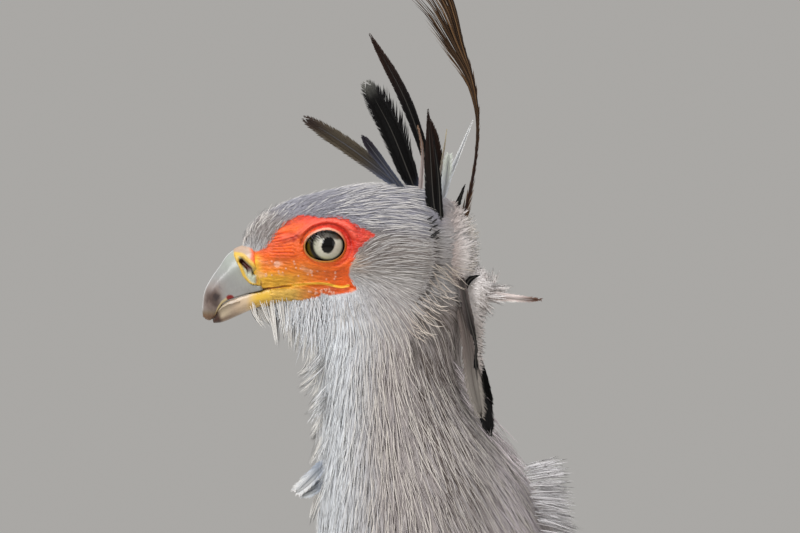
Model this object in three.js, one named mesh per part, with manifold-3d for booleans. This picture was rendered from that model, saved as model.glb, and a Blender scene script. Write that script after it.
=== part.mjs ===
// A secretary bird standing still, life-size, in millimetres.
// It faces -Y, its left side is +X, +Z is up and its soles rest at z = 0.
import * as THREE from "three";
import { mergeVertices } from "three/addons/utils/BufferGeometryUtils.js";
import Module from "manifold-3d";

const wasm = await Module();
wasm.setup();

// Driving dimensions
const EYE_HEIGHT = 1110; // centre of the eyes above the floor
const EYE_BACK = -150; // y of the eyes
const GAP = 0.3; // between neighbouring pieces
const FLESH_STEPS = 12; // rings along a large body form
const FLESH_SIDES = 14; // points round a large body form
const VANE_THICK = 0.8; // a feather's thickness at its root
const LOCK_THICK = 1.4; // a lock's
const SEED = 7;

const v = (x, y, z) => new THREE.Vector3(x, y, z);
const X = v(1, 0, 0);
const Y = v(0, 1, 0);
const Z = v(0, 0, 1);
const lerp = THREE.MathUtils.lerp;
// A place on the head or neck, measured from the point midway between the eyes.
const fromEyes = (x, y, z) => v(x, EYE_BACK + y, EYE_HEIGHT + z);

// Solids

function solidFrom(points, faces) {
  const corner = (i) => points[i];
  const volume = faces.reduce(
    (sum, [a, b, c]) => sum + corner(a).dot(corner(b).clone().cross(corner(c))),
    0,
  );
  const outward = volume < 0 ? faces.map(([a, b, c]) => [a, c, b]) : faces;
  return new wasm.Manifold(
    new wasm.Mesh({
      numProp: 3,
      vertProperties: new Float32Array(points.flatMap((p) => [p.x, p.y, p.z])),
      triVerts: new Uint32Array(outward.flat()),
    }),
  );
}

function solidOf(geometry) {
  geometry.deleteAttribute("normal");
  geometry.deleteAttribute("uv");
  const merged = mergeVertices(geometry, 1e-4);
  const place = merged.attributes.position;
  const points = [];
  for (let i = 0; i < place.count; i++) points.push(new THREE.Vector3().fromBufferAttribute(place, i));
  const faces = [];
  for (let i = 0; i < merged.index.count; i += 3) {
    const face = [0, 1, 2].map((k) => merged.index.getX(i + k));
    if (new Set(face).size === 3) faces.push(face);
  }
  return solidFrom(points, faces);
}

// The largest closed surface of a solid.
function largest(solid) {
  const bodies = solid.decompose();
  return bodies.reduce((a, b) => (b.volume() > a.volume() ? b : a));
}

const joined = (pieces) => pieces.reduce((a, b) => a.add(b));

function geometryOf(solid) {
  const mesh = solid.getMesh();
  const geometry = new THREE.BufferGeometry();
  const count = mesh.numVert;
  const places = new Float32Array(count * 3);
  for (let i = 0; i < count; i++) {
    const start = i * mesh.numProp;
    places.set(mesh.vertProperties.subarray(start, start + 3), i * 3);
  }
  geometry.setAttribute("position", new THREE.BufferAttribute(places, 3));
  geometry.setIndex(new THREE.BufferAttribute(new Uint32Array(mesh.triVerts), 1));
  geometry.computeVertexNormals();
  return geometry;
}

// The part of a solid on the side of a plane that its normal points to, and half a gap short of it.
function beyond(solid, point, normal, gap = GAP / 2) {
  const n = normal.clone().normalize();
  return solid.trimByPlane([n.x, n.y, n.z], n.dot(point) + gap);
}

// A smooth closed body along a spine. A station is [x, y, z, half width, up, down].
// hint points across the section, and up is across times along.
function form(stations, { hint = X, power = 2, lowerPower = power } = {}) {
  const spine = new THREE.CatmullRomCurve3(stations.map((s) => v(s[0], s[1], s[2])));
  const sizes = new THREE.CatmullRomCurve3(stations.map((s) => v(s[3], s[4], s[5])), false, "catmullrom");

  function section(t) {
    const along = spine.getTangent(t);
    const across = hint.clone().addScaledVector(along, -hint.dot(along)).normalize();
    const up = across.clone().cross(along).normalize();
    return { at: spine.getPoint(t), along, across, up, size: sizes.getPoint(t) };
  }

  function point(t, angle, grow = 0) {
    const s = section(t);
    const c = Math.cos(angle);
    const r = Math.sin(angle);
    const bend = 2 / (r < 0 ? lowerPower : power);
    const height = (r < 0 ? s.size.z : s.size.y) + grow;
    return s.at
      .addScaledVector(s.across, Math.sign(c) * Math.abs(c) ** bend * (s.size.x + grow))
      .addScaledVector(s.up, Math.sign(r) * Math.abs(r) ** bend * height);
  }

  function solid({ steps = FLESH_STEPS, sides = FLESH_SIDES, grow = 0, ripple = () => 0 } = {}) {
    const points = [];
    const faces = [];
    for (let i = 0; i <= steps; i++) {
      for (let j = 0; j < sides; j++) {
        const angle = (2 * Math.PI * j) / sides;
        const place = point(i / steps, angle, grow + ripple(i / steps, angle));
        const end = i === 0 ? -1 : i === steps ? 1 : 0;
        points.push(place.addScaledVector(section(i / steps).along, end * grow));
      }
    }
    for (let i = 0; i < steps; i++) {
      for (let j = 0; j < sides; j++) {
        const a = i * sides + j;
        const b = i * sides + ((j + 1) % sides);
        faces.push([a, b, b + sides], [a, b + sides, a + sides]);
      }
    }
    for (const [ring, turn] of [[0, 1], [steps, -1]]) {
      const middle = points.length;
      points.push(section(ring / steps).at.addScaledVector(section(ring / steps).along, -turn * grow));
      for (let j = 0; j < sides; j++) {
        const a = ring * sides + j;
        const b = ring * sides + ((j + 1) % sides);
        faces.push(turn > 0 ? [middle, b, a] : [middle, a, b]);
      }
    }
    return solidFrom(points, faces);
  }

  return { point, solid };
}

// A feather's vane or a lock of the coat: a thin flat strip, both faces split alike, tapering to its tip.
// line is its 2D curve from root to tip, and at(u, v, lift) puts a point of it on the surface it lies along.
// tilt lowers one edge and raises the other, as on a row of tiles.
function vane({ at, line, width, outline, lift, tilt = 0, thick = VANE_THICK, steps = 4 }) {
  const points = [];
  for (let i = 0; i <= steps; i++) {
    const t = i / steps;
    const middle = line.getPoint(t);
    const along = line.getTangent(t);
    const half = (width / 2) * outline(t);
    const height = (thick / 2) * (1 - 0.4 * t);
    const corner = (side, face) =>
      at(
        middle.x - along.y * half * side,
        middle.y + along.x * half * side,
        lift(t) + tilt * outline(t) * side + height * face,
      );
    points.push(corner(-1, 1), corner(1, 1), corner(1, -1), corner(-1, -1));
  }
  const faces = [
    [0, 3, 2],
    [0, 2, 1],
  ];
  for (let i = 0; i < steps; i++) {
    for (let j = 0; j < 4; j++) {
      const a = i * 4 + j;
      const b = i * 4 + ((j + 1) % 4);
      if (j === 2) faces.push([a, b, a + 4], [b, b + 4, a + 4]);
      else faces.push([a, b, b + 4], [a, b + 4, a + 4]);
    }
  }
  const end = steps * 4;
  faces.push([end, end + 1, end + 2], [end, end + 2, end + 3]);
  return solidFrom(points, faces);
}

const curve = (...places) => new THREE.SplineCurve(places.map(([u, w]) => new THREE.Vector2(u, w)));
// A height that passes smoothly through values evenly spaced from root to tip.
function through(...values) {
  const line = curve(...values.map((value, i) => [i, value]));
  return (t) => line.getPoint(t).y;
}

// Outlines of feathers, as shares of the full width from the root at 0 to the tip at 1.
const hump = (t, low, late) => low + (1 - low) * Math.sin(Math.PI * t ** late);
const blade = (t) => Math.max(0.12, hump(Math.min(1, t * 0.92), 0.45, 0.75) * (t > 0.9 ? 0.75 : 1));
const spoon = (t) => Math.max(0.14, hump(t, 0.24, 1.7) - 0.12 * t);
const strap = (t) => Math.max(0.1, Math.min(1, 0.55 + 1.6 * t) * Math.min(1, (1.06 - t) * 6));
const flag = (t) => (t < 0.5 ? 0.16 : t > 0.95 ? 0.2 : 0.16 + 0.84 * Math.sin(Math.PI * (t - 0.5) * 1.9));
const wisp = (t) => Math.max(0.1, 0.9 - 0.1 * t - 0.75 * t ** 3);

// A repeatable random number from 0 to 1.
let state = SEED;
function random() {
  state = (state * 1664525 + 1013904223) % 4294967296;
  return state / 4294967296;
}
const vary = (value, share) => value * (1 + share * (2 * random() - 1));

// Flesh

const torso = form(
  [
    [0, -128, 718, 34, 34, 40],
    [0, -92, 715, 74, 71, 72],
    [0, -40, 708, 85, 85, 91],
    [0, 22, 700, 87, 88, 98],
    [0, 86, 692, 80, 80, 88],
    [0, 146, 678, 63, 64, 68],
    [0, 204, 658, 40, 43, 42],
    [0, 244, 640, 20, 22, 20],
    [0, 262, 631, 6, 7, 6],
  ],
  { power: 2.4, lowerPower: 2 },
);

// The neck with the body of its loose coat, from the breast and belly up into the back of the head.
const NECK = { top: 10, step: 34, round: 45 };
const neckStation = (place, y, half, front, back) => [
  0,
  EYE_BACK + y,
  EYE_HEIGHT + NECK.top - NECK.step * place,
  half,
  front,
  back,
];
const NECK_STATIONS = [
  neckStation(15, 126, 12, 16, 16),
  neckStation(14, 122, 48, 60, 56),
  neckStation(13, 110, 69, 95, 78),
  neckStation(12, 98, 79, 108, 88),
  neckStation(11, 88, 81, 110, 92),
  neckStation(10, 81, 78, 106, 93),
  neckStation(9, 75, 73, 98, 92),
  neckStation(8, 70, 67, 89, 88),
  neckStation(7, 67, 62, 80, 82),
  neckStation(6, 64, 57, 74, 75),
  neckStation(5, 58, 52, 67, 67),
  neckStation(4, 48, 46, 56, 57),
  neckStation(3, 40, 40, 46, 44),
  neckStation(2, 38, 35, 46, 39),
  neckStation(1, 42, 32, 45, 37),
  neckStation(0, 52, 14, 18, 16),
];
const neck = form(NECK_STATIONS);
// u is measured down the neck from its top, and w round it from the front towards the bird's left.
const onNeck = (u, w, lift) =>
  neck.point(1 - u / (NECK.step * (NECK_STATIONS.length - 1)), Math.PI / 2 - w / NECK.round, lift);

const headStation = (y, z, half, up, down) => [0, EYE_BACK + y, EYE_HEIGHT + z, half, up, down];
const skull = form([
  headStation(-54, -11, 6, 8, 10),
  headStation(-47, -11, 11, 17, 17),
  headStation(-39, -9, 15, 24, 23),
  headStation(-27, -6, 19.5, 29, 26),
  headStation(-12, -3, 24, 32.5, 29),
  headStation(4, -1, 27, 33.5, 33),
  headStation(22, 0, 30, 34.5, 39),
  headStation(40, -2, 31, 35, 45),
  headStation(56, -6, 27.5, 32, 45),
  headStation(68, -12, 19, 24, 36),
  headStation(75, -16, 8, 12, 16),
]);

// The eyes

const EYE = { radius: 13.5, socket: 14.9, out: 15, openLong: 11.3, openHigh: 8.2, lid: 1.7 };

function ball(radius, place, wide = 14, high = 8) {
  const geometry = new THREE.SphereGeometry(radius, wide, high);
  geometry.rotateZ(-Math.PI / 2);
  geometry.translate(place.x, place.y, place.z);
  return solidOf(geometry);
}

function eyeball(side) {
  return ball(EYE.radius, fromEyes(side * EYE.out, 0, 0));
}

// The lids' margin: a ring that lies on the eyeball round its opening.
function lidRing(side) {
  const geometry = new THREE.TorusGeometry(1, EYE.lid / EYE.openLong, 4, 14);
  geometry.rotateY(Math.PI / 2);
  const depth = Math.sqrt(EYE.radius ** 2 - EYE.openLong * EYE.openHigh) + 0.6;
  geometry.scale(EYE.openLong, EYE.openLong, EYE.openHigh);
  const place = fromEyes(side * (EYE.out + depth), 0, 0);
  geometry.translate(place.x, place.y, place.z);
  return solidOf(geometry);
}

function eyeOpening(side) {
  const reach = 30;
  const geometry = new THREE.CylinderGeometry(1, 1, reach, 14);
  geometry.rotateZ(Math.PI / 2);
  geometry.scale(1, EYE.openLong - EYE.lid / 2, EYE.openHigh - EYE.lid / 2);
  const place = fromEyes(side * (EYE.out + reach / 2), 0, 0);
  geometry.translate(place.x, place.y, place.z);
  return solidOf(geometry);
}

// The ridge of the brow over each eye.
function brow(side) {
  const at = (x, y, z, r) => {
    const p = fromEyes(side * x, y, z);
    return [p.x, p.y, p.z, r, r, r];
  };
  const line = [at(12, -32, 11, 2), at(18.5, -17, 14, 3.6), at(22.5, 0, 15.5, 4.4), at(24.5, 17, 13, 2.5)];
  return form(line).solid({ steps: 4, sides: 5 });
}

// The bill

const billStation = (y, z, half, up, down) => [0, EYE_BACK + y, EYE_HEIGHT + z, half, up, down];
const upperBill = form(
  [
    billStation(-28, -13, 15, 14, 15),
    billStation(-40, -12.5, 13, 13, 15.5),
    billStation(-47, -14, 11.2, 12, 16),
    billStation(-53, -18, 9.4, 9, 15),
    billStation(-58, -22.5, 7.8, 7.2, 12),
    billStation(-62, -28, 6, 6, 7),
    billStation(-65, -34, 4, 3.8, 4),
    billStation(-66.4, -39.5, 2.2, 2.1, 1.8),
    billStation(-66.8, -42.4, 0.6, 0.6, 0.5),
  ],
  { hint: X.clone().negate(), lowerPower: 5 },
);
const lowerBill = form(
  [
    billStation(-2, -26.5, 13, 6, 4.8),
    billStation(-14, -26.7, 13, 6, 5.2),
    billStation(-30, -27.6, 11.4, 6, 4.8),
    billStation(-42, -30.4, 9.6, 6, 4.6),
    billStation(-50, -33.6, 7.6, 6, 4.2),
    billStation(-56, -37.6, 5.2, 5, 2.8),
    billStation(-60.6, -41.6, 2.4, 2, 1.2),
  ],
  { hint: X.clone().negate(), power: 5 },
);
// The planes that end the fleshy cere in front, the face behind it, and the horn of the lower bill.
const CERE_FRONT = { at: fromEyes(0, -51.5, -4.7), normal: v(0, -17.6, -14.2) };
const FACE_FRONT = { at: fromEyes(0, -42.5, -2.7), normal: v(0, -22, -6) };
const JAW_FRONT = { at: fromEyes(0, -38.5, -30), normal: v(0, -1, 0.2) };

const NOSTRIL = { y: -43.6, z: -11.6, long: 5.4, high: 1.9, lean: 0.7, deep: 5, out: 11 };

function nostril(side) {
  const geometry = new THREE.CylinderGeometry(1, 1, NOSTRIL.deep * 2, 12);
  geometry.rotateZ(Math.PI / 2);
  geometry.scale(1, NOSTRIL.long, NOSTRIL.high);
  geometry.rotateX(-NOSTRIL.lean);
  const place = fromEyes(side * NOSTRIL.out, NOSTRIL.y, NOSTRIL.z);
  geometry.translate(place.x, place.y, place.z);
  return solidOf(geometry);
}

// The line of the mouth from the hook of the bill to the gape, as [y, z] from the eyes.
const MOUTH_LINE = [
  [-66.2, -44],
  [-64, -37.6],
  [-61.6, -34.5],
  [-58.2, -31.4],
  [-54.5, -29.7],
  [-50, -28.8],
  [-41.6, -26.4],
  [-33, -24.2],
  [-13, -22],
  [4, -22.4],
  [17.5, -24],
];
const MOUTH = { high: 0.9, deep: 2.6, below: -60 };

// A sheet of solid across the whole head, with the outline given as [y, z] from the eyes.
function acrossHead(outline) {
  const shape = new THREE.Shape(outline.map(([y, z]) => new THREE.Vector2(y, z)));
  const reach = 40;
  const geometry = new THREE.ExtrudeGeometry(shape, { depth: 2 * reach, bevelEnabled: false });
  geometry.applyMatrix4(new THREE.Matrix4().makeBasis(Y, Z, X));
  const place = fromEyes(-reach, 0, 0);
  geometry.translate(place.x, place.y, place.z);
  return solidOf(geometry);
}

// All that lies under the line of the mouth, lowered and set back by a gap.
function underMouth(gap) {
  const line = MOUTH_LINE.map(([y, z]) => [y + gap, z - gap]);
  return acrossHead([...line, [line.at(-1)[0], MOUTH.below], [line[0][0], MOUTH.below]]);
}

function mouthGroove() {
  const lower = MOUTH_LINE.map(([y, z]) => [y, z - MOUTH.high]);
  return acrossHead([...MOUTH_LINE, ...lower.toReversed()]).subtract(skull.solid({ grow: -MOUTH.deep }));
}

// Crest feathers, from the eyes: line is [y, z] and x the distance to the left, root first.
const CREST = [
  { line: [[44, 28], [34, 37], [12, 54], [-13, 70]], x: [5, 6, 8, 9], width: 8, outline: spoon },
  { line: [[46, 26], [37, 35], [26, 50], [18.7, 60.5]], x: [9, 9, 10, 11], width: 6, outline: spoon },
  { line: [[53, 22], [46, 36], [33, 64], [20, 89]], x: [2, 3, 4, 6], width: 12, outline: spoon },
  { line: [[60, 14], [58, 42], [44, 80], [23, 117]], x: [0, 1, 2, 0], width: 8.5, outline: spoon },
  { line: [[64, 2], [61, 22], [59, 48], [55, 75]], x: [12, 18, 16, 12], width: 9.5, outline: spoon },
  { line: [[56, 16], [59, 32], [61, 46], [61, 57]], x: [-6, -7, -8, -9], width: 6, outline: spoon },
  { line: [[58, 12], [65, 34], [72, 51], [80, 68.5]], x: [-3, -4, -6, -9], width: 5.5, outline: blade },
  {
    line: [[62, 2], [74, 16], [82, 50], [83, 86], [74, 122], [54, 156]],
    x: [4, 4, 4, 4, 3, 2],
    width: 19,
    outline: flag,
  },
  { line: [[60, 0], [68, 12], [73, 22], [77, 33]], x: [-3, -4, -5, -6], width: 5, outline: spoon },
  { line: [[52, 20], [47, 38], [37, 62], [27, 79]], x: [-8, -9, -12, -15], width: 9, outline: spoon },
  { line: [[60, 8], [61, 28], [60, 50], [56.5, 70]], x: [-12, -14, -15, -17], width: 8, outline: spoon },
  {
    line: [[64, -8], [76, -24], [82, -50], [87, -78], [90, -104]],
    x: [12, 17, 20, 23, 30],
    width: 9,
    outline: spoon,
  },
  {
    line: [[60, -8], [74, -24], [81, -48], [86, -74], [89, -97]],
    x: [-14, -18, -22, -25, -31],
    width: 9,
    outline: spoon,
  },
  { line: [[62, -22], [84, -26], [102, -29], [119, -30]], x: [2, 3, 4, 4], width: 7, outline: blade },
];

function crestFeather({ line, x, width, outline }) {
  const at = (y, z, lift) => fromEyes(lift, y, z);
  const steps = line.length > 4 ? 8 : 5;
  return vane({ at, line: curve(...line), width, outline, lift: through(...x), steps });
}

// The soft tuft behind the head: broad plumes in a few upright layers, fanned from up and back to down.
const NAPE = { layers: [-12, 0, 12], fan: 3, root: 54, length: 34, width: 23 };

function napeTuft() {
  const at = (y, z, lift) => fromEyes(lift, y, z);
  return NAPE.layers.flatMap((x, layer) =>
    [...Array(NAPE.fan).keys()].map((i) => {
      const turn = 0.5 - 0.55 * i + 0.25 * (layer % 2);
      const length = vary(NAPE.length, 0.12);
      const root = [NAPE.root, 3 - 8 * i];
      const reach = (share, bend) => [
        root[0] + share * length * Math.cos(turn + bend),
        root[1] + share * length * Math.sin(turn + bend),
      ];
      const lift = through(x * 0.8, x + 1.8 * i, x * 1.15 + 1.8 * i);
      const line = curve(root, reach(0.5, 0.2), reach(1, -0.15));
      return vane({ at, line, width: NAPE.width, outline: wisp, lift, thick: LOCK_THICK, steps: 3 });
    }),
  );
}

// Fine feathers that hang from the lower jaw, longer towards the throat.
const CHIN = { count: 5, from: -34, step: 6.4, shortest: 10, longer: 5, width: 5.5 };

function chinFringe(side) {
  const at = (y, z, lift) => fromEyes(lift, y, z);
  const strands = [];
  for (let i = 0; i < CHIN.count; i++) {
    const y = CHIN.from + CHIN.step * i;
    const length = vary(CHIN.shortest + CHIN.longer * i, 0.12);
    const root = side * (2.5 + 0.9 * i);
    const line = curve([y, -27], [y + 1, -31 - length * 0.5], [y + vary(4, 0.5), -31 - length]);
    const lift = through(root, root * 1.1, root * 1.3);
    strands.push(vane({ at, line, width: CHIN.width, outline: wisp, lift, thick: LOCK_THICK, steps: 2 }));
  }
  return strands;
}

// Rows of loose locks that hang down a form, as tiles do, each row under the tips of the one above.
// from and to are the row's first and last places round the form, and stand is how far the tips stand out.
function lockRow({ at, u, from, to, count, length, width, stand, drift = 0 }) {
  const locks = [];
  for (let i = 0; i < count; i++) {
    const w = lerp(from, to, count > 1 ? i / (count - 1) : 0.5);
    const reach = vary(length, 0.1);
    const turn = drift * Math.sign(w) + vary(0.06 * length, 1);
    const line = curve([u, w], [u + reach * 0.5, w + turn * 0.4], [u + reach, w + turn]);
    const lift = through(-5, 3.6, vary(stand, 0.2));
    locks.push(vane({ at, line, width, outline: wisp, lift, thick: LOCK_THICK, steps: 2 }));
  }
  return locks;
}

// Legs

const LEG = { out: 52, ankleY: 34, ankleZ: 330, footY: 4, step: 20 };

function legPlaces(side) {
  const step = -side * LEG.step;
  return {
    ankle: v(side * LEG.out, LEG.ankleY + step * 0.75, LEG.ankleZ),
    foot: v(side * LEG.out, LEG.footY + step, 0),
    step,
  };
}

const THIGH = { top: 700, step: 51, round: 40 };
const THIGH_SIZES = [
  [8, 27, 44, 44],
  [3, 33, 56, 54],
  [-3, 37, 55, 51],
  [-3, 35, 48, 44],
  [3, 30, 40, 36],
  [14, 24, 31, 28],
  [25, 17, 22, 20],
  [33, 9, 11, 10],
];

function thighForm(side) {
  const { step } = legPlaces(side);
  const last = THIGH_SIZES.length - 1;
  const lean = 6;
  return form(
    THIGH_SIZES.map(([y, half, back, front], i) => [
      side * (LEG.out - lean * (1 - i / last)),
      y + step * 0.75 * (i / last),
      THIGH.top - THIGH.step * i,
      half,
      back,
      front,
    ]),
  );
}

// Loose black feathers down to the joint: u runs down the thigh, and w round it from the outside.
function thighLocks(side) {
  const thigh = thighForm(side);
  const height = THIGH.step * (THIGH_SIZES.length - 1);
  const at = (u, w, lift) => thigh.point(u / height, w / THIGH.round, lift);
  const round = Math.PI * THIGH.round;
  return [0, 1, 2].flatMap((row) => {
    const start = row % 2 ? 0 : round / 4;
    return lockRow({
      at,
      u: 132 + 62 * row,
      from: start - round,
      to: start + round * (1 - 2 / 4),
      count: 4,
      length: 88 - 6 * row,
      width: 38,
      stand: 6.5,
    });
  });
}

// The bare shank with its joint at the top and the large scutes down its front.
const SCUTES = 10;
const SCUTE = { from: 0.2, to: 0.98, root: -0.5, rise: 3 };
function shankForm(side) {
  const { ankle, foot } = legPlaces(side);
  const at = (share, half, back, front) => {
    const p = ankle.clone().lerp(foot, share);
    return [p.x, p.y, p.z, half, back, front];
  };
  return form([
    at(-0.07, 8, 9, 9),
    at(-0.02, 11.5, 13, 13),
    at(0.03, 12, 14, 13),
    at(0.09, 8.6, 9.5, 9.5),
    at(0.25, 6.6, 7.6, 7.6),
    at(0.5, 6.2, 7.2, 7.2),
    at(0.75, 6.4, 7.4, 7.6),
    at(0.9, 8, 9, 9.5),
    at(0.99, 9, 11, 12),
  ]);
}

function scuteRipple(t, angle) {
  const front = Math.max(0, -Math.sin(angle));
  const place = (t * SCUTES) % 1;
  return t > SCUTE.from && t < SCUTE.to ? front * (SCUTE.root + SCUTE.rise * place) : 0;
}

// A toe is [name, degrees from straight ahead, length to the claw, thickness, claw length].
const TOES = [
  ["inner", -33, 46, 12.5, 15],
  ["middle", 0, 60, 13.5, 16],
  ["outer", 34, 48, 12.5, 14],
  ["hind", 172, 33, 11, 14],
];
const WEB = 25; // how far from the foot's middle the toes part from it
const HIND_ROOT = 15;
const PAD = { half: 13, back: 15, front: 15, high: 17 };
const CLAW_THICK = 8.5;

function toeForm(side, [, degrees, length, thick]) {
  const { foot } = legPlaces(side);
  const angle = THREE.MathUtils.degToRad(degrees) * side;
  const ahead = v(Math.sin(angle), -Math.cos(angle), 0);
  const sole = 0.7;
  const at = (reach, share, lift = 0) => {
    const p = foot.clone().addScaledVector(ahead, reach);
    const r = (thick / 2) * share;
    return [p.x, p.y, r - sole + lift, r, r, r];
  };
  const stations = [
    at(0, 0.95, 1.5),
    at(length * 0.35, 1, 0.6),
    at(length * 0.5, 0.9),
    at(length * 0.65, 0.98),
    at(length * 0.8, 0.84),
    at(length, 0.86),
  ];
  return { ahead, foot, body: form(stations, { hint: ahead.clone().cross(Z) }) };
}

function clawForm(side, toe) {
  const [, , length, , claw] = toe;
  const { ahead, foot } = toeForm(side, toe);
  const at = (share, z, size) => {
    const p = foot.clone().addScaledVector(ahead, length + claw * share);
    const r = (CLAW_THICK / 2) * size;
    return [p.x, p.y, z, r * 0.85, r, r];
  };
  const stations = [
    at(-0.15, 5.4, 1),
    at(0.2, 6.2, 0.95),
    at(0.55, 5.6, 0.7),
    at(0.85, 3.3, 0.38),
    at(1, 1.1, 0.12),
  ];
  return form(stations, { hint: ahead.clone().cross(Z) });
}

// The wings, folded along the sides, as a plump arm under tiers of feathers.

const ARM = form(
  [
    [47, -152, 742, 2, 8, 9],
    [58, -138, 737, 11, 34, 36],
    [70, -108, 728, 18, 54, 53],
    [74, -56, 717, 21, 66, 62],
    [73, 12, 707, 22, 70, 64],
    [67, 80, 698, 19, 66, 58],
    [56, 145, 685, 15, 52, 44],
    [45, 200, 670, 9, 30, 26],
    [38, 232, 660, 3, 8, 8],
  ],
  { hint: v(1, 0, 0.2) },
);
// The outer side of the closed wing, on which its feathers lie: the middle line from shoulder to tip as
// [y, x, z], from which the side falls off up and down.
const SIDE_LINE = new THREE.CatmullRomCurve3(
  [
    [-152, 66, 742],
    [-82, 95, 721],
    [-12, 102, 712],
    [58, 98, 703],
    [128, 86, 690],
    [198, 70, 673],
    [268, 55, 652],
    [338, 43, 627],
    [408, 33, 602],
    [478, 23, 578],
  ].map(([y, x, z]) => v(x, y, z)),
);
const SIDE = { from: -152, long: 630, lean: 0.2, bulge: 1 / 420 };
function onSide(y, z, lift) {
  const middle = SIDE_LINE.getPoint(THREE.MathUtils.clamp((y - SIDE.from) / SIDE.long, 0, 1));
  const rise = z - middle.z;
  return v(middle.x - SIDE.lean * rise - SIDE.bulge * rise * rise + lift, y, z);
}

// The tiers on the side of the wing, from the lowest to the one on top: the first feather's root and tip
// as [y, z], and how far the next one's lie from them.
const TIERS = [
  { count: 8, root: [-62, 672], next: [25, 0], tip: [66, 624], tipNext: [35, 1], width: 30, lift: -6.5 },
  { count: 7, root: [-96, 716], next: [29, -2], tip: [-8, 660], tipNext: [34, 0], width: 37, lift: -0.8 },
  { count: 6, root: [-104, 752], next: [31, -4], tip: [-40, 706], tipNext: [36, -2], width: 38, lift: 4.9 },
  {
    count: 4,
    root: [-62, 774],
    next: [36, -11],
    tip: [66, 750],
    tipNext: [52, -18],
    width: 30,
    lift: 11.6,
    sink: 1.1,
  },
];
const TILT = 2; // of a feather's edge under the one in front of it
const WING_GAP = 1.2; // between wing and body
const ROOT_LIFT = -17; // from the side's surface in to where a feather is rooted in the arm

function wingTier({ count, root, next, tip, tipNext, width, lift, sink = 0 }) {
  const feathers = [];
  for (let i = 0; i < count; i++) {
    const start = [root[0] + next[0] * i, root[1] + next[1] * i];
    const end = [tip[0] + tipNext[0] * i, tip[1] + tipNext[1] * i];
    const line = curve(start, [lerp(start[0], end[0], 0.5), lerp(start[1], end[1], 0.42)], end);
    const out = lift - sink * i;
    const rise = through(ROOT_LIFT, out, out, out);
    const tilt = sink > 0 ? 0 : TILT;
    feathers.push(vane({ at: onSide, line, width, outline: strap, lift: rise, tilt, steps: 3 }));
  }
  return feathers;
}

// The primaries: a stack of blades, the longest innermost, that leaves the end of the wing.
const PRIMARY = { count: 5, width: 25, apart: 1.3, lowest: -15, longest: 478, shorter: 31 };

function primaries() {
  const feathers = [];
  for (let i = 0; i < PRIMARY.count; i++) {
    const tip = PRIMARY.longest - PRIMARY.shorter * i;
    const line = curve([150, 664 + 2 * i], [240, 638 + 3 * i], [350, 606 + 3 * i], [tip, 574 + 8 * i]);
    const out = PRIMARY.lowest + PRIMARY.apart * i;
    const rise = through(ROOT_LIFT, out, out, out, out);
    feathers.push(vane({ at: onSide, line, width: PRIMARY.width, outline: blade, lift: rise, steps: 4 }));
  }
  return feathers;
}

// The tail: a stack of feathers that leave the rump, the two long ones in the middle on top.

const TAIL = {
  y: 222,
  z: 634,
  slope: THREE.MathUtils.degToRad(26),
  sag: 26, // of the long feathers at their tips
  long: 648,
  pairs: 6,
  apart: 1.3,
};
function onTail(u, w, lift) {
  const height = lift - TAIL.sag * (u / TAIL.long) ** 2;
  const back = u * Math.cos(TAIL.slope) + height * Math.sin(TAIL.slope);
  const up = height * Math.cos(TAIL.slope) - u * Math.sin(TAIL.slope);
  return v(w, TAIL.y + back, TAIL.z + up);
}

function tailFeather(pair, side) {
  const place = 2 * pair + (side > 0 ? 0 : 1);
  const long = pair === 0 ? TAIL.long - 14 * (place % 2) : 318 - 17 * pair;
  const out = 11 + 7.5 * pair;
  const line = curve([14, side * (3 + pair)], [long * 0.5, side * lerp(4, out, 0.7)], [long, side * out]);
  const lift = () => -TAIL.apart * place;
  return vane({ at: onTail, line, width: 43 - pair, outline: strap, lift, steps: pair === 0 ? 6 : 4 });
}

// The soft root of the tail, with a tier of short feathers that cover the quills.
function tailRoot() {
  const at = (u, half, up, down) => {
    const middle = onTail(u, 0, 0);
    return [0, middle.y, middle.z, half, up, down];
  };
  return form([
    at(-12, 26, 24, 26),
    at(25, 32, 21, 26),
    at(60, 33, 16, 24),
    at(95, 29, 9, 21),
    at(125, 18, 2, 16),
  ]);
}

function tailCoverts() {
  return [-2, 2, -1, 1, 0].map((place, i) => {
    const line = curve([18, place * 6], [80, place * 11], [150 - 8 * Math.abs(place), place * 15]);
    const lift = through(-4, 9 + 1.6 * i, 5 + 1.6 * i, 2.5 + 1.6 * i);
    return vane({ at: onTail, line, width: 24, outline: strap, lift, steps: 4 });
  });
}

// The nodes

const MATERIALS = {
  pale_plumage: { color: 0xa9a7a6, roughness: 0.9 },
  black_plumage: { color: 0x1d1a1a, roughness: 0.8 },
  grey_plumage: { color: 0x8d9096, roughness: 0.85 },
  horn: { color: 0x9aa0a3, roughness: 0.35 },
  cere: { color: 0xd9b63a, roughness: 0.45 },
  eye: { color: 0xc9cdbf, roughness: 0.08 },
  shank: { color: 0xb59a90, roughness: 0.6 },
  claw: { color: 0x2c2624, roughness: 0.4 },
};
const materials = Object.fromEntries(
  Object.entries(MATERIALS).map(([name, look]) => [
    name,
    new THREE.MeshStandardMaterial({ ...look, metalness: 0 }),
  ]),
);

const bird = new THREE.Group();
function place(name, solid, material) {
  const mesh = new THREE.Mesh(geometryOf(largest(solid)), materials[material]);
  mesh.name = name;
  bird.add(mesh);
  return mesh;
}

// The whole of head, neck and breast, larger by grow, to be parted by thin cuts.
const flesh = (grow = 0) => {
  const breast = neck.solid({ grow, steps: NECK_STATIONS.length - 1 });
  return joined([torso.solid({ grow }), breast, skull.solid({ grow, sides: 16 })]);
};
const NECK_CUTS = [
  { at: fromEyes(0, 40, -48), normal: v(0, -0.45, 1) },
  { at: fromEyes(0, 50, -155), normal: v(0, -0.28, 1) },
  { at: fromEyes(0, 70, -303), normal: v(0, -0.3, 1) },
];

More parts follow.
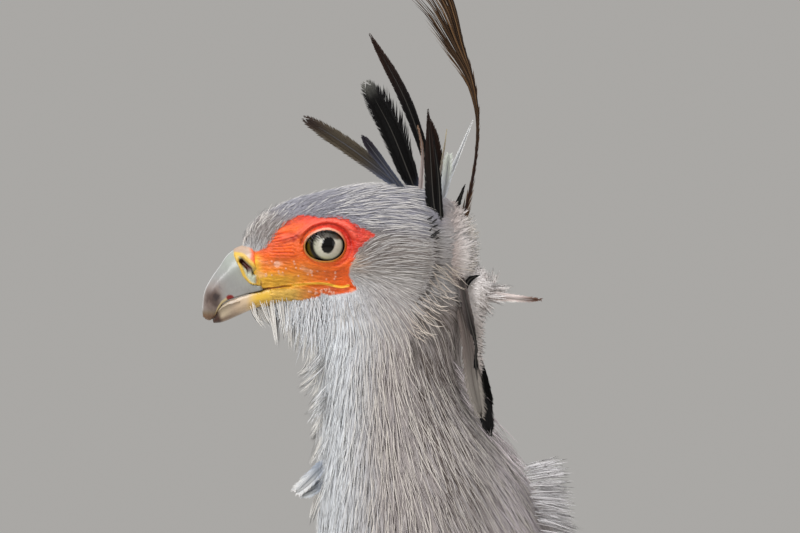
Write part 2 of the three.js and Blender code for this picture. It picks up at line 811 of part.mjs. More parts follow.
function buildHead() {
  const lidsAndBrow = [-1, 1].flatMap((side) => [lidRing(side), brow(side)]);
  const jaw = beyond(mandible, JAW_FRONT.at, JAW_FRONT.normal.clone().negate());
  let head = beyond(flesh(), NECK_CUTS[0].at, NECK_CUTS[0].normal);
  head = joined([beyond(head, FACE_FRONT.at, FACE_FRONT.normal.clone().negate()), ...lidsAndBrow]);
  head = head.add(jaw).subtract(mouthGroove());
  for (const side of [-1, 1]) {
    const socket = ball(EYE.socket, fromEyes(side * EYE.out, 0, 0), 12, 7);
    head = head.subtract(socket).subtract(eyeOpening(side));
  }
  const throat = [
    { u: 52, from: -34, to: 34, count: 4 },
    { u: 68, from: -46, to: 46, count: 5 },
  ].flatMap((row) => lockRow({ at: onNeck, length: 30, width: 17, stand: 6, ...row }));
  const fringe = [...chinFringe(1), ...chinFringe(-1)];
  return joined([head, ...CREST.map(crestFeather), ...napeTuft(), ...fringe, ...throat]);
}

const bill = upperBill.solid({ steps: 11, sides: 14 }).subtract(underMouth(0));
const mandible = lowerBill.solid({ steps: 9, sides: 12 }).intersect(underMouth(GAP * 0.8));
const head = largest(buildHead());
place("head", head, "pale_plumage");
for (const side of [-1, 1]) place(side > 0 ? "eye_left" : "eye_right", eyeball(side), "eye");
const billInFront = beyond(bill, FACE_FRONT.at, FACE_FRONT.normal);
const cere = beyond(billInFront, CERE_FRONT.at, CERE_FRONT.normal.clone().negate());
place("cere", cere.subtract(joined([-1, 1].map(nostril))), "cere");
place("bill_upper", beyond(billInFront, CERE_FRONT.at, CERE_FRONT.normal), "horn");
place("bill_lower", beyond(mandible, JAW_FRONT.at, JAW_FRONT.normal), "horn");

const [headCut, neckCut, chestCut] = NECK_CUTS;
const down = (cut) => cut.normal.clone().negate();
// Locks all round the neck: [row's place down it, number, length, how far the tips stand out].
const UPPER_LOCKS = [
  [88, 6, 42, 6],
  [110, 6, 44, 7],
  [132, 6, 46, 7.5],
];
const LOWER_LOCKS = [
  [180, 7, 52, 7.5],
  [208, 7, 56, 8],
  [237, 7, 60, 8.5],
];
function neckLocks([u, count, length, stand], i) {
  const round = Math.PI * NECK.round;
  const shift = i % 2 ? round / count : 0;
  const from = -round + shift;
  const to = from + 2 * round * (1 - 1 / count);
  return lockRow({ at: onNeck, u, from, to, count, length, width: 28, stand });
}

const upper = beyond(beyond(flesh(), headCut.at, down(headCut)).subtract(head), neckCut.at, neckCut.normal);
place("neck_upper", joined([upper, ...UPPER_LOCKS.flatMap(neckLocks)]), "pale_plumage");
const lower = beyond(beyond(flesh(), neckCut.at, down(neckCut)), chestCut.at, chestCut.normal);
place("neck_lower", joined([lower, ...LOWER_LOCKS.flatMap(neckLocks)]), "pale_plumage");
place("torso", beyond(flesh(), chestCut.at, down(chestCut)), "pale_plumage");

const roomForBody = flesh(GAP);
const pairs = [...Array(TAIL.pairs).keys()];
const tailFeathers = pairs.flatMap((pair) => [1, -1].map((side) => tailFeather(pair, side)));
const rump = tailRoot().solid({ steps: 4, sides: 10 });
place("tail", joined([rump, ...tailFeathers, ...tailCoverts()]).subtract(roomForBody), "grey_plumage");

const arm = ARM.solid({ steps: 8, sides: 10 });
const wingWhole = joined([arm, ...TIERS.flatMap(wingTier), ...primaries()]).subtract(flesh(WING_GAP));
place("wing_left", wingWhole, "grey_plumage");
place("wing_right", wingWhole, "grey_plumage").scale.x = -1;
const armRoom = ARM.solid({ steps: 8, sides: 10, grow: 3 * GAP });
const roomForWings = armRoom.add(armRoom.mirror([1, 0, 0]));

for (const side of [1, -1]) {
  const name = side > 0 ? "left" : "right";
  const thigh = thighForm(side).solid({ steps: 8, sides: 12 });
  const shank = shankForm(side);
  const roomForShank = shank.solid({ steps: 10, sides: 12, grow: 3 * GAP });
  const bareThigh = thigh.subtract(roomForBody).subtract(roomForWings);
  place("thigh_" + name, joined([bareThigh, ...thighLocks(side)]).subtract(roomForShank), "black_plumage");

  const { foot } = legPlaces(side);
  const pad = form([
    [foot.x, foot.y, 26, 9, 11, 12],
    [foot.x, foot.y - 1, PAD.high, PAD.half, PAD.back, PAD.front],
    [foot.x, foot.y - 2, 6, PAD.half, PAD.back, PAD.front],
    [foot.x, foot.y - 2, -1.5, PAD.half - 4, PAD.back - 4, PAD.front - 4],
  ]).solid({ steps: 3, sides: 8 });
  const floor = (solid) => beyond(solid, v(0, 0, 0), Z, 0);
  const stubs = [];
  for (const toe of TOES) {
    const { ahead, body } = toeForm(side, toe);
    const whole = floor(body.solid({ steps: 6, sides: 6 }));
    const root = foot.clone().addScaledVector(ahead, toe[0] === "hind" ? HIND_ROOT : WEB);
    const tip = foot.clone().addScaledVector(ahead, toe[2]);
    const back = ahead.clone().negate();
    stubs.push(beyond(whole, root, back));
    place(`toe_${name}_${toe[0]}`, beyond(beyond(whole, root, ahead), tip, back), "shank");
    const claw = floor(clawForm(side, toe).solid({ steps: 4, sides: 5 }));
    place(`claw_${name}_${toe[0]}`, beyond(claw, tip, ahead), "claw");
  }
  const footSolid = joined([floor(pad), ...stubs]);
  const shankSolid = shank.solid({ steps: 2 * SCUTES, sides: 8, ripple: scuteRipple });
  const ankleTop = v(0, 0, 24);
  place("shank_" + name, beyond(shankSolid, ankleTop, Z), "shank");
  place("foot_" + name, beyond(footSolid, ankleTop, Z.clone().negate()), "shank");
}

// The origin lies on the floor under the middle of the bird's length.
const length = new THREE.Box3().setFromObject(bird);
bird.position.y = -(length.min.y + length.max.y) / 2;

export default bird;
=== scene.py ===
"""A secretary bird standing still, life-size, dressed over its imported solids."""
import math

import bmesh
import bpy
import numpy as np
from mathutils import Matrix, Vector
from mathutils.bvhtree import BVHTree


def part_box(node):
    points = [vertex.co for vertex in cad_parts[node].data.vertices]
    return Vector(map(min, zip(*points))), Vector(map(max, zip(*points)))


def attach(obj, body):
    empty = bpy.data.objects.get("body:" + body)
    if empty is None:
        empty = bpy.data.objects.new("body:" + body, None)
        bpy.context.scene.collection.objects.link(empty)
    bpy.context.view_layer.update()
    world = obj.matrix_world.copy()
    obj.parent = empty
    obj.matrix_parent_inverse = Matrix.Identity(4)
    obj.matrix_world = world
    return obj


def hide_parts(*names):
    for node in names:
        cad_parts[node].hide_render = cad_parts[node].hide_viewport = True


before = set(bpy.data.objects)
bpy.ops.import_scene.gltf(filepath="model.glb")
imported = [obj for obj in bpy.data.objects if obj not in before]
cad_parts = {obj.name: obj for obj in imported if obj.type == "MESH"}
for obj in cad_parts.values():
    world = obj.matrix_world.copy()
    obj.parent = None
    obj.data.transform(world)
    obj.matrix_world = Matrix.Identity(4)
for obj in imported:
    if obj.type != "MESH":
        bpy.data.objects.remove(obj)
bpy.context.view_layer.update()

# The photographer's place: level with the head, square on to the bird's left side, a long lens far off.
# Sizes on the head are millimetres from the point midway between the eyes: y to the rear, z up.
MM = 0.001
eye_low, eye_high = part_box("eye_left")
EYES = Vector((0, (eye_low.y + eye_high.y) / 2, (eye_low.z + eye_high.z) / 2))
MM_PER_PIXEL = 0.55
PHOTO_WIDTH = 800
CAMERA_FAR = 6.0
SENSOR = 36
PICTURE_MIDDLE = (40.2, -11.8)
camera = bpy.data.objects.new("camera", bpy.data.cameras.new("camera"))
bpy.context.scene.collection.objects.link(camera)
camera.data.sensor_width = SENSOR
camera.data.lens = SENSOR * CAMERA_FAR / (PHOTO_WIDTH * MM_PER_PIXEL * MM)
camera.location = (CAMERA_FAR, EYES.y + PICTURE_MIDDLE[0] * MM, EYES.z + PICTURE_MIDDLE[1] * MM)
camera.rotation_euler = (math.pi / 2, 0, math.pi / 2)
camera.data.clip_end = 100
bpy.context.scene.camera = camera
bpy.context.scene.view_settings.view_transform = "Standard"

# The floor and the light of a small studio: a plain pale floor, a broad soft light high on the camera's side,
# a weaker one from the other side, and an even pale surround.
bpy.ops.mesh.primitive_plane_add(size=40, location=(0, 0, -0.0005))
floor = bpy.context.object
floor.name = "floor"
paint = bpy.data.materials.new("floor")
paint.use_nodes = True
paint.node_tree.nodes["Principled BSDF"].inputs["Base Color"].default_value = (0.62, 0.58, 0.53, 1)
paint.node_tree.nodes["Principled BSDF"].inputs["Roughness"].default_value = 0.9
floor.data.materials.append(paint)

world = bpy.data.worlds.new("surround")
bpy.context.scene.world = world
world.use_nodes = True
world.node_tree.nodes["Background"].inputs["Color"].default_value = (0.80, 0.78, 0.75, 1)
world.node_tree.nodes["Background"].inputs["Strength"].default_value = 0.50
for name, place, size, power in [
    ("key", (1.9, -2.2, 2.5), 1.7, 60),
    ("top", (0.3, -0.4, 3.4), 2.4, 40),
    ("fill", (1.6, 2.2, 1.6), 2.0, 10),
    ("rim", (-2.0, 0.8, 2.6), 1.6, 18),
]:
    lamp = bpy.data.lights.new(name, "AREA")
    lamp.size = size
    lamp.energy = power
    light = bpy.data.objects.new(name, lamp)
    bpy.context.scene.collection.objects.link(light)
    light.location = place
    aim = Vector((0, EYES.y * 0.6, EYES.z * 0.85)) - Vector(place)
    light.rotation_euler = aim.to_track_quat("-Z", "Y").to_euler()

# The skin: one continuous hide from the base of the bill to the rump and down to the ankles, scarlet and
# wrinkled round the eyes, pale under the feathers. It is drawn over the flesh's own sections and then
# fused, relaxed, and finely divided where it is bare.
RNG = np.random.default_rng(7)


def colour(red, green, blue):
    """A colour of the eye's own scale, 0 to 255, as the shader takes it."""
    tone = np.array([red, green, blue], float) / 255
    return np.where(tone <= 0.04045, tone / 12.92, ((tone + 0.055) / 1.055) ** 2.4)


def smooth(low, high, value):
    share = np.clip((value - low) / (high - low), 0, 1)
    return share * share * (3 - 2 * share)


def mix(a, b, share):
    share = np.asarray(share)[..., None]
    return a * (1 - share) + b * share


def layered(tone, *layers):
    """Lays colours over a tone one after the other, each as thickly as its share says."""
    for over, share in layers:
        tone = mix(tone, over, share)
    return tone


def through(points, t):
    """The place at t, from 0 to 1, on a smooth curve through the points."""
    points = np.asarray(points, float)
    spans = len(points) - 1
    t = np.clip(np.asarray(t, float), 0, 1) * spans
    i = np.minimum(t.astype(int), spans - 1)
    f = (t - i)[..., None]
    ends = np.vstack([2 * points[0] - points[1], points, 2 * points[-1] - points[-2]])
    a, b, c, d = ends[i], ends[i + 1], ends[i + 2], ends[i + 3]
    return 0.5 * (2 * b + (c - a) * f + (2 * a - 5 * b + 4 * c - d) * f**2 + (3 * b - a - 3 * c + d) * f**3)


def unit(vectors):
    return vectors / np.maximum(np.linalg.norm(vectors, axis=-1, keepdims=True), 1e-12)


def loft(stations, steps, sides, across=(1, 0, 0), power=2.0, lower=2.0, grow=0.0):
    """Points and faces of a closed body through stations [x, y, z, half width, up, down]."""
    t = np.linspace(0, 1, steps + 1)
    rows = through(stations, t)
    ahead = unit(through(stations, t + 1e-3)[:, :3] - through(stations, t - 1e-3)[:, :3])
    ahead[[0, -1]] = ahead[[1, -2]]
    wide = unit(np.array(across) - ahead * (ahead @ np.array(across))[:, None])
    up = np.cross(wide, ahead)
    angle = 2 * np.pi * np.arange(sides) / sides
    c, s = np.cos(angle), np.sin(angle)
    bend = np.where(s < 0, 2 / lower, 2 / power)
    c, s = np.sign(c) * np.abs(c) ** bend, np.sign(s) * np.abs(s) ** bend
    high = np.where(s < 0, rows[:, 5:6], rows[:, 4:5]) + grow
    aside = wide[:, None] * (c * (rows[:, 3:4] + grow))[..., None]
    points = rows[:, None, :3] + aside + up[:, None] * (s * high)[..., None]
    points = np.vstack([points.reshape(-1, 3), rows[0, :3], rows[-1, :3]])
    faces = []
    for i in range(steps):
        for j in range(sides):
            k = (j + 1) % sides
            faces.append((i * sides + j, i * sides + k, (i + 1) * sides + k, (i + 1) * sides + j))
    last = (steps + 1) * sides
    for j in range(sides):
        k = (j + 1) % sides
        faces.append((last, k, j))
        faces.append((last + 1, steps * sides + j, steps * sides + k))
    return points, faces


def joined(bodies):
    """Points and faces of several bodies as those of one."""
    points, faces = [], []
    for own, own_faces in bodies:
        start = sum(len(p) for p in points)
        points.append(own)
        faces += [tuple(i + start for i in face) for face in own_faces]
    return np.vstack(points), faces


def place_points(points):
    """From millimetres about the eyes to metres in the room."""
    return np.asarray(points) * MM + np.array(EYES)


def about_eyes(obj):
    """An object's vertices in millimetres about the eyes."""
    co = np.zeros(len(obj.data.vertices) * 3)
    obj.data.vertices.foreach_get("co", co)
    return (co.reshape(-1, 3) - np.array(EYES)) / MM


def hold(piece):
    """Selects one piece alone, so that an operator acts on nothing else."""
    bpy.ops.object.select_all(action="DESELECT")
    bpy.context.view_layer.objects.active = piece
    piece.select_set(True)


def finish_with(piece, kind, **settings):
    hold(piece)
    modifier = piece.modifiers.new(kind.lower(), kind)
    for key, value in settings.items():
        setattr(modifier, key, value)
    bpy.ops.object.modifier_apply(modifier=modifier.name)


def outward(piece):
    """Turns every face of a closed piece outwards."""
    hold(piece)
    bpy.ops.object.mode_set(mode="EDIT")
    bpy.ops.mesh.select_all(action="SELECT")
    bpy.ops.mesh.normals_make_consistent(inside=False)
    bpy.ops.object.mode_set(mode="OBJECT")


def new_piece(name, points, faces):
    """A closed smooth piece from points in millimetres about the eyes."""
    mesh = bpy.data.meshes.new(name)
    mesh.from_pydata([tuple(p) for p in place_points(points)], [], faces)
    piece = bpy.data.objects.new(name, mesh)
    bpy.context.scene.collection.objects.link(piece)
    outward(piece)
    mesh.shade_smooth()
    return piece


def set_points(piece, points):
    """Gives a piece its vertices, in millimetres about the eyes."""
    piece.data.vertices.foreach_set("co", place_points(points).ravel())
    piece.data.update()


def paint_points(piece, tones):
    """Stores one colour for each vertex, which the piece's finish reads as tint."""
    tint = piece.data.color_attributes.new("tint", "FLOAT_COLOR", "POINT")
    tint.data.foreach_set("color", np.hstack([tones, np.ones((len(tones), 1))]).astype(np.float32).ravel())


FLOOR_Z = -float(EYES.z) / MM
TORSO = [
    [0, 24, -392, 32, 32, 38],
    [0, 58, -395, 70, 68, 70],
    [0, 110, -402, 82, 82, 88],
    [0, 172, -410, 84, 85, 95],
    [0, 236, -418, 77, 77, 85],
    [0, 296, -432, 60, 61, 65],
    [0, 354, -452, 38, 41, 40],
    [0, 394, -470, 22, 24, 22],
    [0, 440, -497, 20, 18, 20],
    [0, 485, -520, 15, 8, 14],
]
NECK_STEP = 34
NECK_TOP = 10
NECK = [
    [0, y, NECK_TOP - NECK_STEP * place, half, front, back]
    for place, y, half, front, back in [
        (15, 126, 12, 16, 16), (14, 122, 46, 58, 54), (13, 110, 66, 92, 75), (12, 98, 76, 104, 84),
        (11, 88, 77, 105, 88), (10, 81, 74, 101, 88), (9, 75, 69, 93, 87), (8, 70, 62, 84, 83),
        (7, 67, 57, 76, 76), (6, 64, 52, 71, 69), (5, 58, 46, 64, 61), (4, 48, 40, 53, 51),
        (3, 40, 34, 43, 38), (2, 38, 30, 42, 34), (1, 42, 27, 40, 33), (0, 50, 12, 16, 14),
    ]
]
SKULL = [
    [0, -52, -13, 6, 5, 8], [0, -47, -12, 10, 9, 12], [0, -41, -11, 13, 15, 14], [0, -34, -9, 16, 22, 17],
    [0, -25, -6, 19.6, 25.6, 19], [0, -12, -3, 23.6, 28.8, 23], [0, 4, -1, 26.4, 31.0, 27],
    [0, 22, 0, 28.4, 33.2, 34], [0, 40, -2, 28.6, 34.6, 41], [0, 56, -6, 25, 32.5, 41],
    [0, 68, -12, 16, 21, 32], [0, 73, -16, 6, 9, 13],
]
JAW = [
    [0, 14, -26.5, 15, 6, 6], [0, -2, -26.5, 13.6, 6.4, 5.2], [0, -14, -26.7, 13.4, 6.4, 5.4],
    [0, -30, -27.6, 11.8, 6.4, 5.0], [0, -39, -29.6, 9.9, 6.2, 4.7], [0, -43, -30.8, 7, 4, 3],
]
LEG_OUT = 52
THIGH_TOP = -410
THIGH = [[158, 22, 39, 39], [153, 28, 51, 49], [147, 32, 50, 46], [147, 30, 43, 39], [153, 25, 35, 31],
         [164, 19, 26, 23], [175, 12.5, 17, 15.5], [181, 8.5, 10.5, 9.5], [184, 8, 9.5, 9]]


def thigh_stations(side):
    step = -15 * side
    last = len(THIGH) - 1
    stations = []
    for i, (y, half, back, front) in enumerate(THIGH):
        x = side * (LEG_OUT - 6 * (1 - i / last))
        stations.append([x, y + step * min(i / 7, 1), THIGH_TOP - 50 * i, half, back, front])
    return stations


ARM = np.array(
    [
        [47, -2, -368, 2, 8, 9], [56, 12, -373, 9, 32, 34], [68, 42, -382, 15, 51, 50],
        [71, 94, -393, 18, 62, 58], [70, 162, -403, 19, 66, 60], [64, 230, -412, 16, 62, 54],
        [53, 295, -425, 12, 48, 40], [43, 350, -440, 7, 27, 23], [37, 380, -449, 2, 6, 6],
    ],
    float,
)
ARM_RIGHT = ARM * np.array([-1, 1, 1, 1, 1, 1])

skin = new_piece("skin", *joined([
    loft(TORSO, 40, 40), loft(NECK, 60, 40), loft(SKULL, 60, 48), loft(JAW, 24, 24),
    loft(thigh_stations(1), 40, 32), loft(thigh_stations(-1), 40, 32),
    loft(ARM, 32, 28, (1, 0, 0.2)), loft(ARM_RIGHT, 32, 28, (1, 0, -0.2)),
]))
SKIN_GRAIN = 0.0036
finish_with(skin, "REMESH", mode="VOXEL", voxel_size=SKIN_GRAIN, adaptivity=0)
finish_with(skin, "SMOOTH", factor=0.5, iterations=6)


def from_spans(starts, ends, y, z):
    """How far each place lies from the nearest of the straight spans."""
    nearest = np.full(np.shape(y), 1e9)
    for (ay, az), (by, bz) in zip(starts, ends):
        dy, dz = by - ay, bz - az
        share = np.clip(((y - ay) * dy + (z - az) * dz) / (dy * dy + dz * dz), 0, 1)
        nearest = np.minimum(nearest, np.hypot(y - ay - share * dy, z - az - share * dz))
    return nearest


def away_from(outline, y, z):
    """How far each place lies from a closed outline, less than nought inside it."""
    outline = np.asarray(outline, float)
    ends = np.roll(outline, -1, axis=0)
    inside = np.zeros(np.shape(y), bool)
    for (ay, az), (by, bz) in zip(outline, ends):
        inside ^= ((az > z) != (bz > z)) & (y < (by - ay) * (z - az) / (bz - az + 1e-12) + ay)
    nearest = from_spans(outline, ends, y, z)
    return np.where(inside, -nearest, nearest)


def waves(points, scale, seed):
    """Soft irregular waves between about -1 and 1, one value a point."""
    draw = np.random.default_rng(seed)
    total = np.zeros(len(points))
    for octave in range(5):
        for _ in range(4):
            way = unit(draw.normal(size=3)) * (2**octave) / scale
            total += np.sin(points @ way + draw.uniform(0, 6.3)) / (2**octave)
    return total / 4


BARE_FACE = [
    (-40, -4), (-35.5, -2.2), (-31.5, 3.0), (-27.3, 9.2), (-22, 14.0), (-15.5, 16.2), (-8, 16.3), (4, 16.0),
    (10.5, 14.6), (17.5, 10.6), (27.8, 5.2), (20.2, -0.2), (16, -7.2), (12.5, -12.1), (11.8, -16.5),
    (14.3, -19.8), (18.4, -23.8), (13.4, -26.6), (-2.5, -27), (-5, -30.8), (-40, -35), (-60, -34), (-60, -5)
]
MOUTH = [
    (-61.6, -34.5), (-58.2, -31.4), (-54.5, -29.7), (-50, -28.8), (-41.6, -26.4), (-33, -24.2), (-24, -23),
    (-13, -22), (4, -22.4), (12, -22.8), (17.5, -24),
]
EYE_FRONT, EYE_REAR, EYE_HIGH, EYE_DROP = 12.0, 10.3, 8.7, 0.35
EYE_OUT, EYE_ROUND = 15.0, 13.5

# The bare face is divided finely enough for its lids and folds, the feathered cheek round it less so.
for margin, cuts in [(9, 1), (2.5, 3)]:
    mesh = bmesh.new()
    mesh.from_mesh(skin.data)
    middle = np.array([(edge.verts[0].co + edge.verts[1].co) / 2 - EYES for edge in mesh.edges]) / MM
    chosen = (away_from(BARE_FACE, middle[:, 1], middle[:, 2]) < margin) & (np.abs(middle[:, 0]) > 5)
    bmesh.ops.subdivide_edges(
        mesh, edges=[edge for edge, wanted in zip(mesh.edges, chosen) if wanted], cuts=cuts,
        use_grid_fill=True, smooth=0.0
    )
    bmesh.ops.triangulate(mesh, faces=[face for face in mesh.faces if len(face.verts) > 4])
    mesh.to_mesh(skin.data)
    mesh.free()


def height_of(line, y):
    """How high a line drawn from front to rear runs at each place along the head."""
    line = np.array(line)
    return np.interp(y, line[:, 0], line[:, 1])


def on_eyeball(y, z, lift=0.0):
    """How far out the surface of the eyeball stands, or of the lids that lie round it."""
    return EYE_OUT + np.sqrt((EYE_ROUND + lift) ** 2 - np.minimum(y**2 + z**2, 118))


def eye_ring(y, z):
    """1 on the rim of the lids, less on the eye and more on the face. The front corner is drawn out."""
    wide = np.where(y < 0, EYE_FRONT, EYE_REAR)
    return np.hypot(y / wide, (z + EYE_DROP + 0.05 * np.maximum(-y, 0)) / EYE_HIGH)


def from_line(line, y, z):
    """How far each place lies from an open line, which is run through its points smoothly."""
    line = through(line, np.linspace(0, 1, 6 * len(line)))
    return from_spans(line[:-1], line[1:], y, z)


# The folds of the bare face, each with its depth and half its width: over the lid, over that, the brow's,
# and under the eye.
CREASES = [
    (
        [
            (-13.8, 1), (-11.9, 5.6), (-8.7, 8.6), (-4.5, 10.7), (0.4, 11.6), (5.3, 10.8), (9.5, 8.4),
            (12.4, 4.8), (13.6, 1),
        ],
        1.1, 0.75,
    ),
    (
        [(-20, 2.5), (-16.5, 5.0), (-12, 9.2), (-7, 13.2), (0, 15.0), (7, 14.2), (13, 11.8), (18, 8.2)],
        0.5, 0.7,
    ),
    ([(-29, 5.0), (-24, 6.2), (-19, 6.0), (-14.5, 3.4), (-12.4, 1.2)], 0.75, 0.65),
    ([(-26, 9.0), (-20, 11.5), (-13, 15.4), (-6, 16.6)], 0.35, 0.7),
    (
        [
            (-12.5, -3.6), (-9, -7.9), (-4.6, -10.6), (1.1, -11.6), (6.6, -10.8), (11.2, -7.6),
            (13.6, -2.6), (13.6, 0.8),
        ],
        0.55, 0.65,
    ),
    ([(4, -14.6), (9, -13.4), (13.4, -9.6)], 0.3, 0.6), ([(14, 3), (18, 1.6), (21.5, 1.8)], 0.35, 0.6),
    ([(13, 8), (18, 6.4), (24, 4.4)], 0.4, 0.6),
]
BROW = [(-24, 3.6), (-18, 4.6), (-14, 7.4), (-8, 11.6), (-1, 13.1), (6, 12.6), (11.4, 9.8), (15, 5)]
GAPE_ROLL = [
    (-30, -23.9), (-24, -23.0), (-19, -22.3), (-12, -21.5), (-5, -21.1), (0.4, -21.5), (5.3, -22.7),
    (8.8, -23.0), (12, -22.3),
]
EAR_EDGE = np.array(
    [(20, 50), (12, 55), (4, 57), (-4, 57.3), (-11, 57), (-16, 55.6), (-24.5, 52), (-30, 47), (-33, 43)]
)


def past_ear(y, z):
    """How far each place lies behind the firm rear edge of the feathers that cover the ear."""
    return y - np.interp(z, EAR_EDGE[::-1, 0], EAR_EDGE[::-1, 1])


co = about_eyes(skin)
side = np.sign(co[:, 0])
y, z = co[:, 1], co[:, 2]
bare = smooth(1.0, -1.5, away_from(BARE_FACE, y, z)) * (np.abs(co[:, 0]) > 4)
ring = eye_ring(y, z)
out = np.abs(co[:, 0])
near_eye = smooth(1.9, 1.1, ring)
out = out * (1 - near_eye) + on_eyeball(y, z, 1.0) * near_eye
out += 1.5 * smooth(2.6, 0.3, from_line(BROW, y, z))
for line, depth, half in CREASES:
    out -= depth * smooth(1.9 * half, 0, from_line(line, y, z))
out = np.where(ring < 1.05, on_eyeball(y, z, -1.7 - 2.2 * smooth(1.0, 0.6, ring)), out)
height = z - height_of(MOUTH, y)
along_mouth = smooth(-40, -36, y) * smooth(17, 13, y)
out += 0.9 * smooth(1.5, 0.3, from_line(GAPE_ROLL, y, z))
out -= 1.3 * smooth(0.9, 0.1, np.abs(height - 0.2)) * along_mouth
out += 0.5 * smooth(2.6, 0.6, np.abs(height + 3)) * along_mouth
stack = z - 0.22 * (y + 20) * smooth(-3, 3, z) + 1.0 * waves(co, 7, 3)
pleat = np.abs(np.sin(stack * math.pi / 1.9))
fore = smooth(-33, -28, y) * smooth(-11, -15, y) * smooth(-8.5, -6, z) * smooth(7, 4, z) * bare
pleat_low = np.abs(np.sin((z + 0.16 * y + 1.1 * waves(co, 5, 5)) * math.pi / 2.1))
aft = smooth(-8, -11, z) * smooth(-40, -32, y) * smooth(14, 4, y) * bare
folds = (pleat - 0.5) * fore * smooth(1.45, 1.65, ring) + 0.45 * (pleat_low - 0.5) * aft
pleat_shade = (1 - smooth(0.0, 0.5, pleat)) * fore * smooth(1.45, 1.65, ring) * smooth(-0.7, 0.2, waves(co, 5, 6))
grain = waves(co, 1.5, 4) * bare * smooth(1.3, 1.6, ring)
out += 0.75 * folds + 0.17 * grain * (0.6 + 0.9 * smooth(-6, -12, z))
draw = np.random.default_rng(17)
warts = [(draw.uniform(-34, 12), draw.uniform(-19, -9)) for _ in range(34)]
warts += [(draw.uniform(-10, 6), draw.uniform(-27.5, -24)) for _ in range(26)]
bristle = np.zeros(len(co))
for wy, wz in warts:
    bristle = np.maximum(bristle, smooth(0.75, 0.15, np.hypot(y - wy, z - wz)))
bristle *= (eye_ring(y, z) > 1.6) * (np.abs(co[:, 0]) > 4)
out += 0.4 * bristle
out *= 1 - 0.36 * smooth(-38.6, -41.5, y)
behind_ear = past_ear(y, z)
hollow = smooth(-1.5, 5, behind_ear) * smooth(13, 6, behind_ear) * smooth(-38, -28, z) * smooth(22, 14, z)
co[:, 0] *= 1 - 0.09 * hollow
on_face = (
    smooth(-56, -46, y) * smooth(41, 34, y) * smooth(-41, -34, z) * smooth(29, 24, z)
    * (np.abs(co[:, 0]) > 5)
)
co[:, 0] = side * (np.abs(co[:, 0]) * (1 - on_face) + out * on_face)
set_points(skin, co)
skin.data.shade_smooth()

# Markings, alike on skin and feathers: blue-grey crown and mantle, paler cheeks and throat, a pinkish-grey
# nape and hind neck, white rump, black belly and thighs, with painted shade in the hollows of the hind neck
# and behind the ear coverts.
CROWN = colour(140, 139, 151)
CHEEK = colour(148, 139, 135)
THROAT = colour(230, 236, 243)
HIND_NECK = colour(166, 157, 156)
SHADE = colour(112, 101, 94)
MANTLE = colour(158, 160, 168)
BLACK = colour(22, 20, 20)
RUMP = colour(226, 226, 224)
BREAST = colour(206, 208, 211)
BEHIND_FACE = colour(200, 178, 162)
LOW_CHEEK = colour(170, 165, 162)
NAPE = colour(176, 165, 163)
RUFF = colour(196, 186, 192)
EAR_SHADOW_LOW, EAR_SHADOW_HIGH = colour(86, 77, 69), colour(116, 105, 100)


def markings(points):
    """The colour of the feathers at places given in millimetres about the eyes."""
    x, y, z = points.T
    patch = waves(points, 26, 11)
    front = smooth(34, 4, y + 0.02 * (z + 60) + 5 * patch)
    nape = smooth(54, 64, y) * smooth(-75, -40, z) * smooth(40, 20, z)
    hollow = smooth(
        13, 2, from_line([(66, -22), (58, -48), (52, -80), (66, -104), (70, -128)], y + 3 * patch, z),
    )
    low = smooth(48, 64, y) * smooth(-96, -112, z) * smooth(-175, -150, z) * smooth(96, 84, y)
    past = past_ear(y, z)
    ear = smooth(-1.0, 0.6, past) * smooth(14, 7, past + 6 * smooth(-30, -45, z))
    ear *= smooth(-64, -50, z) * smooth(14, 4, z)
    belly = smooth(-455, -475, z - 0.25 * np.abs(y - 150)) * smooth(330, 300, y) * smooth(20, 60, y)
    tone = layered(
        mix(CHEEK, CROWN, smooth(6, 16, z + 0.12 * y) * smooth(80, 62, y)),
        (BEHIND_FACE, smooth(22, 14, y) * smooth(8, 14, y) * smooth(-4, -9, z) * smooth(-26, -20, z)),
        (LOW_CHEEK, smooth(-10, -17, z) * smooth(52, 44, y)),
        (mix(HIND_NECK, THROAT, front), smooth(-16, -34, z + 0.30 * (y - 30))),
        (NAPE, nape),
        # Painted shade: brown-grey in the hollow down the hind neck, and low on the neck behind.
        (SHADE, 0.42 * hollow * smooth(-0.9, 0.3, waves(points, 9, 12))),
        (SHADE, 0.55 * low * smooth(-0.7, 0.5, waves(points, 10, 14))),
        (RUFF, 0.8 * smooth(76, 92, y) * smooth(-88, -108, z) * smooth(-200, -165, z)),
        # Painted shadow in a band just behind the rear edge of the ear coverts, darker low down.
        (mix(EAR_SHADOW_LOW, EAR_SHADOW_HIGH, smooth(-20, -4, z)), 0.92 * ear),
        (BREAST, smooth(-190, -290, z)),
        (MANTLE, smooth(60, 110, y) * smooth(-420, -380, z) * smooth(-250, -300, z)),
        (RUMP, smooth(300, 350, y)),
        (BLACK, belly),
    )
    return np.clip(tone * (1 + 0.06 * waves(points, 5, 13))[:, None], 0, 1)


def face_margin(points):
    """How far each place lies outside the uneven edge of the bare face."""
    return away_from(BARE_FACE, points[:, 1], points[:, 2]) + 0.8 * waves(points, 2.5, 22)


